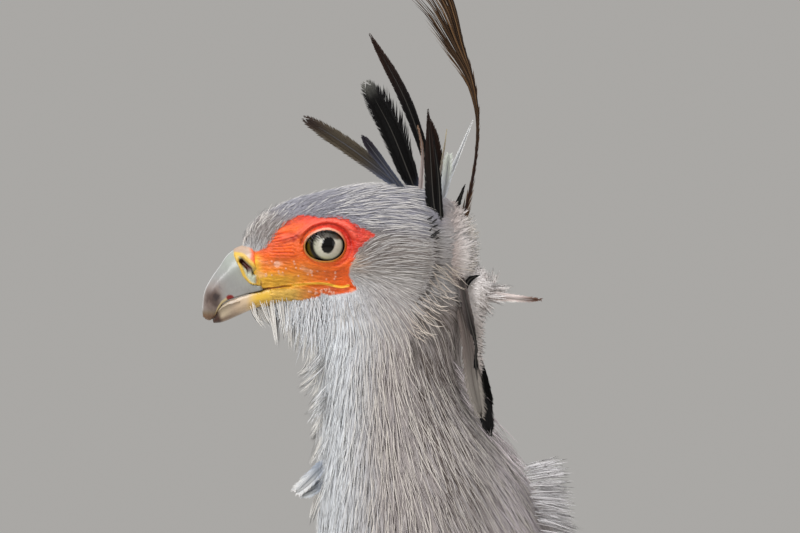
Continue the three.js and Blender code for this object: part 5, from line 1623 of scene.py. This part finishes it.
for number, line in enumerate(LOCKS):
    for x in (-9, -3.5, 3.5, 9):
        draw = np.random.default_rng(900 + 4 * number + int(x))
        count = 6 if number < 2 else 9
        path = through(np.array([[x, y, z] for y, z in line], float), np.linspace(0, 1, 8))
        path = path + draw.normal(size=3) * np.array([0.8, 0.7, 1.4]) * (abs(x) < 5 or x < 0)
        spread = (
            draw.normal(size=(count, 1, 3)) * np.array([1.3, 1.3, 0.5])
            * np.linspace(1, 0.3, 8)[None, :, None]
        )
        reach = 0.7 + 0.3 * draw.random(count)
        lines = sample(path[None] + spread, reach[:, None] * np.linspace(0, 1, 7)[None])
        tone = mix(colour(226, 224, 220), colour(250, 248, 244), draw.random(count))
        normals = np.tile(ways(x, -3.0, 0.5), (count, 7, 1))
        width = 0.3 + 0.16 * draw.random(count)
        fringe.append(barbs(lines, normals, width, lines[:, 0], tone * 0.96, tone, soft=0.6))
lay_coat("coat_throat", fringe, silk, "plumage")

# The neck: long, lax, hair-like feathers in clumps that hang down over each other, bluish white in front
# and pinkish grey behind, with painted brown-grey shade between them and long cream threads over them.
def on_neck(points):
    x, y, z = points.T
    return (
        (z > -352 + 0.25 * (y - 40)) * (z < -22 - 0.35 * np.maximum(0, 40 - y))
        * (z < -26 + 0.9 * np.maximum(0, y - 52))
    )


def upper_more(points):
    return on_neck(points) * (0.35 + 0.65 * smooth(-200, -110, points[:, 2]))


def pale_threads(points):
    x, y, z = points.T
    behind = smooth(-2, 2, past_ear(y, z)) * (z > -62)
    return on_neck(points) * (0.3 + 0.7 * smooth(-220, -130, z)) * (1 - 0.75 * behind)


# Dark threads laid along the hollow of the hind neck, as painted shade between the clumps.
def shade_threads(points):
    y, z = points[:, 1], points[:, 2]
    return on_neck(points) * smooth(14, 4, from_line([(66, -22), (60, -48), (56, -80), (68, -128)], y, z))


neck_parts = []
CLUMPS, STRANDS = 600, 6
BACKWARD = np.array([0, 1, 0])
PALE, DARK = colour(228, 228, 232), colour(96, 86, 80)
for batch in range(7):
    count = CLUMPS
    roots, facing = scatter(count, upper_more)
    depth = smooth(-40, -260, roots[:, 2])
    size = (22 + 24 * depth) * (0.7 + 0.6 * RNG.random(count))
    stand = (1.3 + 2.6 * depth) * (0.5 + 0.8 * RNG.random(count))
    swing = RNG.normal(size=roots.shape) * 0.07 + 0.16 * waves(roots, 16, 93)[:, None] * BACKWARD
    lines, normals = runs(roots, facing, size, stand, 4, swing)
    ahead = unit(lines[:, -1] - lines[:, 0])
    across = unit(np.cross(normals, np.repeat(ahead[:, None], 5, 1)))
    clump = mottled(roots, 0.02, 61 + batch) * (1 + 0.08 * waves(roots, 11, 92))[:, None]
    for strand in range(STRANDS):
        place = RNG.normal(size=count) * 0.8
        begin = 0.35 * RNG.random((count, 1))
        end = 0.7 + 0.3 * RNG.random((count, 1))
        share = begin + (end - begin) * np.linspace(0, 1, 4)[None]
        centre, normal, wide = sample(lines, share), sample(normals, share), sample(across, share)
        spread = (place * size * 0.10)[:, None, None] * (0.4 + 0.8 * share[..., None])
        lift = (np.abs(RNG.normal(size=count)) * 0.4)[:, None, None] * share[..., None]
        own = centre + wide * spread + normal * lift
        light = RNG.random((count, 1))
        tone = np.where(light > 0.85, clump * 0.76 + PALE * 0.24, clump)
        rear = smooth(20, 45, roots[:, 1])[:, None]
        tone = np.where(light < 0.12, mix(tone, DARK, 0.4 * rear[:, 0]), tone)
        width = 0.38 + 0.2 * RNG.random(count)
        neck_parts.append(barbs(own, normal, width, roots, tone * 0.97, tone * 0.88 + PALE * 0.12))
for count, where, tone, width, height in [
    (4000, pale_threads, colour(240, 243, 246), 0.36, 3.0),
    (600, shade_threads, colour(96, 84, 78), 0.4, 1.6),
]:
    roots, facing = scatter(count, where)
    size = (16 + 24 * RNG.random(count)) * (1 + 0.3 * smooth(-100, -260, roots[:, 2]))
    stand = height * (0.6 + RNG.random(count))
    swing = RNG.normal(size=roots.shape) * 0.16 + 0.3 * waves(roots, 18, 94)[:, None] * BACKWARD
    lines, normals = runs(roots, facing, size, stand, 5, swing)
    shade = tone * (0.92 + 0.1 * RNG.random((count, 1)))
    if where is pale_threads:
        rear = smooth(6, 30, roots[:, 1])
        shade = (
            mix(shade, shade * colour(236, 226, 216), rear)
            * (1 - 0.2 * smooth(50, 70, roots[:, 1]))[:, None]
        )
    width = width * (0.7 + 0.6 * RNG.random(count))
    neck_parts.append(barbs(lines, normals, width, roots, shade * 0.97, shade))

# Wisps that stand out from the front of the throat, and the ruff of stiff free barbs behind the neck's base.
for root, way, reach, count in [
    ((15, -3, -60), (0.2, -0.62, -0.85), 17, 22), ((13, -2, -64), (0.2, -0.75, -0.75), 16, 18),
    ((12, 0, -80), (0.2, -0.55, -0.9), 19, 24), ((10, 0, -86), (0.2, -0.62, -0.85), 17, 18),
    ((12, 2, -104), (0.2, -0.42, -0.95), 19, 20), ((12, 3, -124), (0.3, -0.25, -1), 18, 20),
    ((-12, -2, -66), (-0.2, -0.6, -0.85), 17, 22), ((-12, 1, -92), (-0.2, -0.5, -0.9), 18, 22),
    ((0, -4, -72), (0, -0.6, -0.85), 15, 20),
]:
    neck_parts.append(
        fan(
            count, root, (2.2, 0.9, 2.2), reach, way, (0.08, 0.10, 0.08), colour(244, 246, 249),
            400 - root[2] + root[0], droop=-0.12, width=0.5, bow=0.07,
        )
    )
for y, z in [(71, -66), (75, -76), (79, -85), (84, -93), (89, -100), (94, -107), (98, -113), (102, -119)]:
    for x in (-14, -5, 4, 13):
        root, way, turn = (x, y - 0.02 * x * x, z), (x * 0.01, 0.66, -0.75), (0.10, 0.09, 0.08)
        neck_parts.append(fan(12, root, (2.5, 1.5, 3.0), 20, way, turn, colour(232, 222, 226),
                              700 + y * 3 + x, droop=0.05, width=0.5, bow=0.07))
draw = np.random.default_rng(67)
RUFF_ROOTS = [
    (114, -123), (116, -127), (117, -132), (118, -137), (119, -141), (120, -146), (121.5, -151),
    (123, -157), (125, -163), (127, -170),
]
for number, (y, z) in enumerate(RUFF_ROOTS):
    rise = np.interp(number, [0, 4, 9], [0.24, -0.05, -0.45])
    for x in (-16, -6, 4, 14, 22):
        root, way, turn = (x, y - 0.012 * x * x, z), (x * 0.012, 1, rise), (0.10, 0.05, 0.07)
        neck_parts.append(
            fan(
                13, root, (2.0, 0.8, 1.4), 17 + 2 * draw.random(), way, turn, colour(232, 230, 233),
                500 + number * 9 + x, droop=0.05, width=0.55, bow=0.04,
            )
        )
lay_coat("coat_neck", neck_parts, silk, "plumage")
upper_tones = two_tone(colour(170, 180, 196), colour(238, 241, 244))
lower_tones = two_tone(colour(150, 160, 176), colour(220, 226, 232))
stray = plume([[6, -117], [-2, -121], [-9.5, -128.5], [-17, -136]], [9, 11, 12, 12], 3.6, rounded,
              upper_tones, 160, 0.9)
stray += plume([[4, -124], [-2, -130], [-8, -134.6], [-14.5, -137]], [8, 10, 10, 10], 3.0, rounded,
               lower_tones, 161, 0.9)
lay_coat("stray_feather", stray, crest_web, "plumage")

# The body's contour feathers: overlapping soft-edged leaves, pale grey on the breast and flanks, ash grey
# over the back, white on the rump, black under the belly.
def thinned(roots, facing, apart):
    """Drops each root that is too near one already kept. apart gives the least distance at each root."""
    cell = float(np.max(apart))
    grid, kept = {}, []
    for i, p in enumerate(roots):
        key = tuple((p // cell).astype(int))
        near = [
            j for dx in (-1, 0, 1) for dy in (-1, 0, 1) for dz in (-1, 0, 1)
            for j in grid.get((key[0] + dx, key[1] + dy, key[2] + dz), ())
        ]
        if all(np.sum((roots[j] - p) ** 2) > apart[i] ** 2 for j in near):
            grid.setdefault(key, []).append(i)
            kept.append(i)
    return roots[kept], facing[kept]


def on_body(points):
    x, y, z = points.T
    return (z < -290 + 0.25 * (y - 40)) * (z > -500) * (y > 0)


BODY_TRIES, THIGH_TRIES = 14000, 9000
body_web = web("body_feather", 0.75)
roots, facing = scatter(BODY_TRIES, on_body)
order = RNG.permutation(len(roots))
roots, facing = thinned(roots[order], facing[order], np.full(len(roots), 8.6))
order = np.argsort(-roots[:, 1])
roots, facing = roots[order], facing[order]
count = len(roots)
size = (34 + 10 * smooth(60, 200, roots[:, 1])) * (0.85 + 0.3 * RNG.random(count))
lines, normals = runs(
    roots, facing, size, 2.6 + 1.2 * RNG.random(count), 5, RNG.normal(size=roots.shape) * 0.07,
)
tones = mottled(roots, 0.05, 71)
edges = tones * 0.75 + colour(236, 238, 240) * 0.25 * (np.mean(tones, axis=1, keepdims=True) > 0.1)
half = 8.5 + 2 * RNG.random(count)
feathers = vanes(lines, normals, half, leaf, 1.3 + 0 * size, roots, tones, edges)
lay_coat("coat_body", [feathers], body_web, "plumage")

# The thighs: loose black feathers down to the joint, narrower than those of the body and shorter toward the
# joint, each with a free tip.
def on_thigh(points):
    x, y, z = points.T
    return (z < -455) * (z > -768) * (y < 262) * (y > 60)


roots, facing = scatter(THIGH_TRIES, on_thigh)
order = RNG.permutation(len(roots))
apart = 6.5 - 2.2 * smooth(-620, -740, roots[:, 2])
roots, facing = thinned(roots[order], facing[order], apart[order])
count = len(roots)
size = (36 - 15 * smooth(-600, -760, roots[:, 2])) * (0.85 + 0.35 * RNG.random(count))
lines, normals = runs(
    roots, facing, size, 2.4 + 2.2 * RNG.random(count), 5, RNG.normal(size=roots.shape) * 0.1,
)
tones = BLACK * (0.75 + 0.7 * RNG.random((count, 1))) + colour(20, 22, 30) * 0.2
half = (6.5 - 2.0 * smooth(-600, -760, roots[:, 2])) * (0.9 + 0.2 * RNG.random(count))
feathers = vanes(lines, normals, half, leaf, 1.1 + 0 * size, roots, tones, tones * 1.5)
lay_coat("coat_thighs", [feathers], web("thigh_feather", 0.6), "thigh")

# The folded wings: small scale-like coverts at the shoulder, rows of larger grey coverts below and behind,
# and the black flight feathers, whose tips lie together over the base of the tail.
SIDE_LINE = np.array([
    [66, -2, -368], [95, 68, -389], [102, 138, -398], [98, 208, -407], [86, 278, -420], [70, 348, -437],
    [55, 418, -457], [43, 488, -483], [33, 558, -508], [23, 628, -532],
], float)


def on_side(y, z, lift):
    middle = through(SIDE_LINE, np.clip((y + 2) / 630, 0, 1))
    rise = z - middle[..., 2]
    return np.stack([middle[..., 0] - 0.2 * rise - rise**2 / 420 + lift, y, z], axis=-1)


COVERT, COVERT_EDGE = colour(152, 154, 160), colour(196, 197, 200)
FLIGHT = colour(24, 23, 25)
# Tiers from the lowest up, the scapulars last: how many, the first root and the way to the next, the first
# tip and the way to the next, width, lift, colour, colour of the edges.
TIERS = [
    (17, (84, -436), (11.9, 0), (210, -488), (16.8, 0.5), 30, -5.5, FLIGHT, FLIGHT * 1.6),
    (15, (50, -396), (13.6, -0.9), (132, -452), (16.4, 0), 34, -1.2, COVERT * 0.92, COVERT_EDGE),
    (13, (40, -374), (14.6, -1.6), (96, -424), (16.6, -0.6), 30, 2.4, COVERT, COVERT_EDGE),
    (12, (26, -362), (14.5, -1.7), (66, -400), (16, -0.9), 25, 4.6, COVERT * 1.04, COVERT_EDGE),
    (11, (14, -352), (14.5, -1.9), (48, -379), (15.6, -1.3), 22, 6.2, COVERT * 1.07, COVERT_EDGE),
    (8, (88, -338), (19, -5.5), (176, -362), (26, -9), 32, 9.5, COVERT * 0.97, COVERT_EDGE),
]


def quill(t):
    return np.clip(0.5 + 1.6 * t, 0, 1) * np.sqrt(np.clip((1.03 - t) * 7, 0, 1))


wing_web = web("wing_feather", 0.6, bars=1.6)
for label, hand in SIDES:
    parts = []
    for tier, (count, root, step, tip, tip_step, width, lift, tone, edge_tone) in enumerate(TIERS):
        draw = np.random.default_rng(500 + tier)
        i = np.arange(count)[::-1]
        ry, rz = root[0] + step[0] * i, root[1] + step[1] * i
        ty = tip[0] + tip_step[0] * i + draw.normal(size=count) * 1.5
        tz = tip[1] + tip_step[1] * i + draw.normal(size=count)
        lines = []
        for t in np.linspace(0, 1, 9):
            y = ry + (ty - ry) * t
            z = rz + (tz - rz) * t + (4 if tier < 5 else 2) * np.sin(np.pi * t)
            rise = lift - 14 * (1 - smooth(0, 0.3, t)) - 0.10 * (count - i)
            lines.append(on_side(y, z, rise))
        lines = np.stack(lines, axis=1) * np.array([hand, 1, 1])
        normals = np.tile(ways(hand, 0, 0.25), (count, 9, 1))
        shade = tone * (1 + 0.06 * draw.normal(size=(count, 1)))
        edges = np.repeat(np.atleast_2d(edge_tone), count, 0)
        half, camber = np.full(count, width / 2), np.full(count, 1.6)
        parts.append(vanes(lines, normals, half, quill, camber, lines[:, 0], shade, edges, thick=0.5))
    count = 9
    i = np.arange(count)[::-1]
    lines = []
    for t in np.linspace(0, 1, 17):
        z = through(np.array([[-446.0], [-472], [-504], [-536]]), t)[0] + i * (1.2 + 3.4 * t)
        y = 300 + (628 - 17.5 * i - 300) * t
        lines.append(on_side(y, z, -13 + 0.75 * i - 8 * (1 - smooth(0, 0.2, t))))
    lines = np.stack(lines, axis=1) * np.array([hand, 1, 1])
    normals = np.tile(ways(hand, 0, 0.2), (count, 17, 1))
    shade = FLIGHT * np.ones((count, 1))
    half, camber = np.full(count, 12.5), np.full(count, 1.3)
    parts.append(vanes(lines, normals, half, quill, camber, lines[:, 0], shade, shade * 1.5, thick=0.5))
    lay_coat("wing_feathers_" + label, parts, wing_web, "wing", "wing_" + label)

# The tail: grey feathers in pairs, each with a black band before its white tip, the two in the middle far
# longer than the rest, and soft white coverts over their roots.
TAIL_PLACE, TAIL_DOWN, TAIL_SAG, TAIL_LONG = (372, -476), math.radians(26), 26, 648


def on_tail(u, w, lift):
    height = lift - TAIL_SAG * (u / TAIL_LONG) ** 2
    y = TAIL_PLACE[0] + u * math.cos(TAIL_DOWN) + height * math.sin(TAIL_DOWN)
    z = TAIL_PLACE[1] + height * math.cos(TAIL_DOWN) - u * math.sin(TAIL_DOWN)
    return np.stack([w + 0 * y, y, z], axis=-1)


tail_parts = []
TAIL_GREY = colour(142, 144, 150)
for pair in range(6):
    for hand in (1, -1):
        place = 2 * pair + (hand < 0)
        long = TAIL_LONG - 14 * (place % 2) if pair == 0 else 318 - 17 * pair
        t = np.linspace(0, 1, 25)
        out = (11 + 7.5 * pair) * hand * np.minimum(1, 0.25 + 1.4 * t)
        line = on_tail(t * long, out, -1.3 * place + 0 * t)[None]
        normals = np.repeat(np.array([[[hand * 0.15, 0.42, 0.9]]]), 25, 1)
        arrays = list(
            vanes(
                line, normals, np.array([21.5 - 0.5 * pair]), quill, np.array([2.0]), line[:, 0],
                TAIL_GREY[None], TAIL_GREY[None] * 1.08, thick=0.8,
            )
        )
        reach = arrays[4][:, 2] / long
        band = smooth(0.80, 0.82, reach) * smooth(0.95, 0.935, reach)
        arrays[2] = mix(arrays[2], BLACK, band)
        arrays[2] = mix(arrays[2], colour(236, 236, 234), smooth(0.935, 0.95, reach))
        tail_parts.append(tuple(arrays))
draw = np.random.default_rng(81)
for u0 in range(-10, 118, 12):
    for above in (1, -1):
        count = 9
        turn = (np.arange(count) / (count - 1) - 0.5) * 2.4 + draw.normal(size=count) * 0.05
        size_across = np.interp(u0, [-12, 25, 60, 125], [26, 32, 33, 20])
        size_up = np.interp(u0, [-12, 60, 125], [24, 18, 6])
        lines = []
        for t in np.linspace(0, 1, 6):
            u = u0 + 52 * t
            w = np.sin(turn) * size_across * (1 - 0.15 * t)
            h = (
                above * np.cos(turn) * size_up * (1 - 0.35 * t) - (4 if above < 0 else 1)
                + above * (2.5 * t - 3 * (1 - t))
            )
            lines.append(on_tail(u + 0 * w, w, h))
        lines = np.stack(lines, axis=1)
        normals = np.repeat(ways(np.sin(turn), 0.4 * above, 0.9 * above)[:, None], 6, 1)
        tone = RUMP * (0.95 + 0.06 * draw.random((count, 1)))
        half, camber = np.full(count, 10.0), np.full(count, 1.2)
        tail_parts.append(vanes(lines, normals, half, leaf, camber, lines[:, 0], tone, tone * 1.05))
lay_coat("tail_feathers", tail_parts, web("tail_feather", 0.65, bars=1.4), "tail", "tail")

# The shanks: long bare legs of pinkish-grey horn, plated across the front and netted with small scales
# behind, with thick padded feet, short plated toes and blunt dark claws.
LEG_TONE, LEG_PALE, LEG_DARK = colour(186, 160, 146), colour(214, 194, 182), colour(120, 96, 86)


def leg_places(side):
    step = -20 * side
    ankle = np.array([side * 52, 184 + 0.75 * step, 330 + FLOOR_Z])
    foot = np.array([side * 52, 154 + step, FLOOR_Z])
    return ankle, foot


SHANK = [
    (-0.07, 8, 9, 9), (-0.02, 11.5, 13, 13), (0.03, 12, 14, 13), (0.09, 8.6, 9.5, 9.5),
    (0.25, 6.6, 7.6, 7.6), (0.5, 6.2, 7.2, 7.2), (0.75, 6.4, 7.4, 7.6), (0.9, 8, 9, 9.5),
    (0.965, 11.5, 12.5, 12), (1.0, 11, 12, 12),
]
SHANK_STEPS, SHANK_SIDES = 264, 36
TOES = [
    ("inner", -33, 46, 12.5, 15), ("middle", 0, 60, 13.5, 16), ("outer", 34, 48, 12.5, 14),
    ("hind", 172, 33, 11, 14),
]
TOE_SWELLS = [
    (0.02, 1.0, 3), (0.3, 1.08, 1.4), (0.42, 0.92, 0.4), (0.55, 1.04, 0.3), (0.68, 0.9, 0), (0.8, 1.0, 0),
    (0.93, 0.92, 0), (1.0, 0.62, 0.6),
]
CLAW_CURVE = [
    (-0.25, 6.0, 0.8), (-0.05, 6.4, 1.0), (0.25, 6.6, 0.92), (0.55, 5.8, 0.7), (0.82, 3.8, 0.42),
    (0.96, 1.8, 0.18), (1.0, 0.9, 0.05),
]
SCUTE_HIGH, TOE_PLATE = 9.5, 4.6
scales = finish("leg_scales", 0.5)
place = scales.node_tree.nodes.new("ShaderNodeTexCoord")
cells = scales.node_tree.nodes.new("ShaderNodeTexVoronoi")
cells.feature = "DISTANCE_TO_EDGE"
cells.inputs["Scale"].default_value = 230
grained(scales, cells, place.outputs["Object"], "Distance", (0.55, 1.04), 0.0011, full=0.22, by_shade=True)
horny = finish("claw_horn", 0.34, coat=0.2, scale=500, relief=0.1, stretch=(1, 1, 0.5), rise=0.0003)
for label, side in SIDES:
    ankle, foot = leg_places(side)
    stations = [
        list(ankle + (foot - ankle) * share) + [half, back, front] for share, half, back, front in SHANK
    ]
    points, faces = loft(stations, SHANK_STEPS, SHANK_SIDES)
    middle = through(np.array(stations, float), np.linspace(0, 1, SHANK_STEPS + 1))[:, :3]
    ring = points[:-2].reshape(SHANK_STEPS + 1, SHANK_SIDES, 3)
    angle = 2 * np.pi * np.arange(SHANK_SIDES) / SHANK_SIDES
    front = np.clip(-np.sin(angle), 0, 1)[None] ** 0.5
    height = middle[:, 2] - FLOOR_Z
    plated = smooth(12, 30, height) * smooth(318, 296, height)
    tooth = (height / SCUTE_HIGH) % 1
    raised = (0.9 * (1 - tooth) - 0.25) * plated
    away = unit(ring - middle[:, None])
    ring = ring + away * (front * raised[:, None])[..., None]
    points[:-2] = ring.reshape(-1, 3)
    tone = np.repeat(mix(LEG_TONE, LEG_PALE, smooth(0.2, 0.9, tooth))[:, None], SHANK_SIDES, 1)
    tone = mix(LEG_TONE[None, None] * np.ones_like(tone), tone, np.repeat(front, SHANK_STEPS + 1, 0))
    gap = (smooth(0.10, 0.0, tooth) + smooth(0.94, 1.0, tooth)) * plated
    tone = mix(tone, LEG_DARK, 0.7 * gap[:, None] * front)
    tone = np.vstack([tone.reshape(-1, 3), LEG_TONE, LEG_TONE])
    points[:, 2] = np.maximum(points[:, 2], FLOOR_Z + 0.3)
    shank = new_piece("leg_" + label, points, faces)
    paint_points(shank, tone)
    dress(shank, scales, "shank", "shank_" + label)

    pad = [
        [foot[0], foot[1], FLOOR_Z + 30, 9, 11, 12], [foot[0], foot[1] - 1, FLOOR_Z + 17, 13, 15, 15],
        [foot[0], foot[1] - 2, FLOOR_Z + 7, 14, 16, 16], [foot[0], foot[1] - 2, FLOOR_Z + 0.6, 10, 12, 12],
    ]
    points, faces = loft(pad, 24, 36)
    sole = new_piece("sole_" + label, points, faces)
    paint_points(sole, LEG_TONE * (1 + 0.08 * waves(points, 8, 91))[:, None])
    dress(sole, scales, "shank", "foot_" + label)

    for toe, degrees, length, thick, claw in TOES:
        turn = math.radians(degrees) * side
        ahead = np.array([math.sin(turn), -math.cos(turn), 0])
        wide = np.cross(ahead, [0, 0, 1])
        rows = []
        for reach, share, lift in TOE_SWELLS:
            r = thick / 2 * share
            rows.append(list(foot + ahead * length * reach + np.array([0, 0, r + 0.1 + lift])) + [r, r, r])
        points, faces = loft(rows, 84, 28, wide)
        local = (points - foot) @ ahead
        above = np.clip((points[:, 2] - FLOOR_Z) / thick - 0.55, 0, 1) * 2
        tooth = (local / TOE_PLATE) % 1
        points[:, 2] += above * (0.8 * (1 - tooth) - 0.2)
        points[:, 2] = np.maximum(points[:, 2], FLOOR_Z + 0.1)
        tone = mix(LEG_TONE, LEG_PALE, smooth(0.3, 0.9, tooth) * np.clip(above, 0, 1))
        tone = mix(tone, LEG_DARK, 0.7 * smooth(0.14, 0.0, tooth) * np.clip(above, 0, 1))
        piece = new_piece(f"toe_{label}_{toe}_scaled", points, faces)
        paint_points(piece, tone)
        dress(piece, scales, "shank", f"toe_{label}_{toe}")

        rows = []
        for reach, height, share in CLAW_CURVE:
            r = 4.25 * share
            rows.append(
                list(foot + ahead * (length + claw * reach) + np.array([0, 0, height])) + [r * 0.85, r, r]
            )
        points, faces = loft(rows, 60, 28, wide)
        points[:, 2] = np.maximum(points[:, 2], FLOOR_Z + 0.1)
        piece = new_piece(f"claw_{label}_{toe}_horn", points, faces)
        reach = (points - foot) @ ahead - length
        paint_points(piece, mix(colour(70, 58, 54), colour(34, 30, 30), smooth(0, claw, reach)))
        dress(piece, horny, "claw", f"claw_{label}_{toe}")
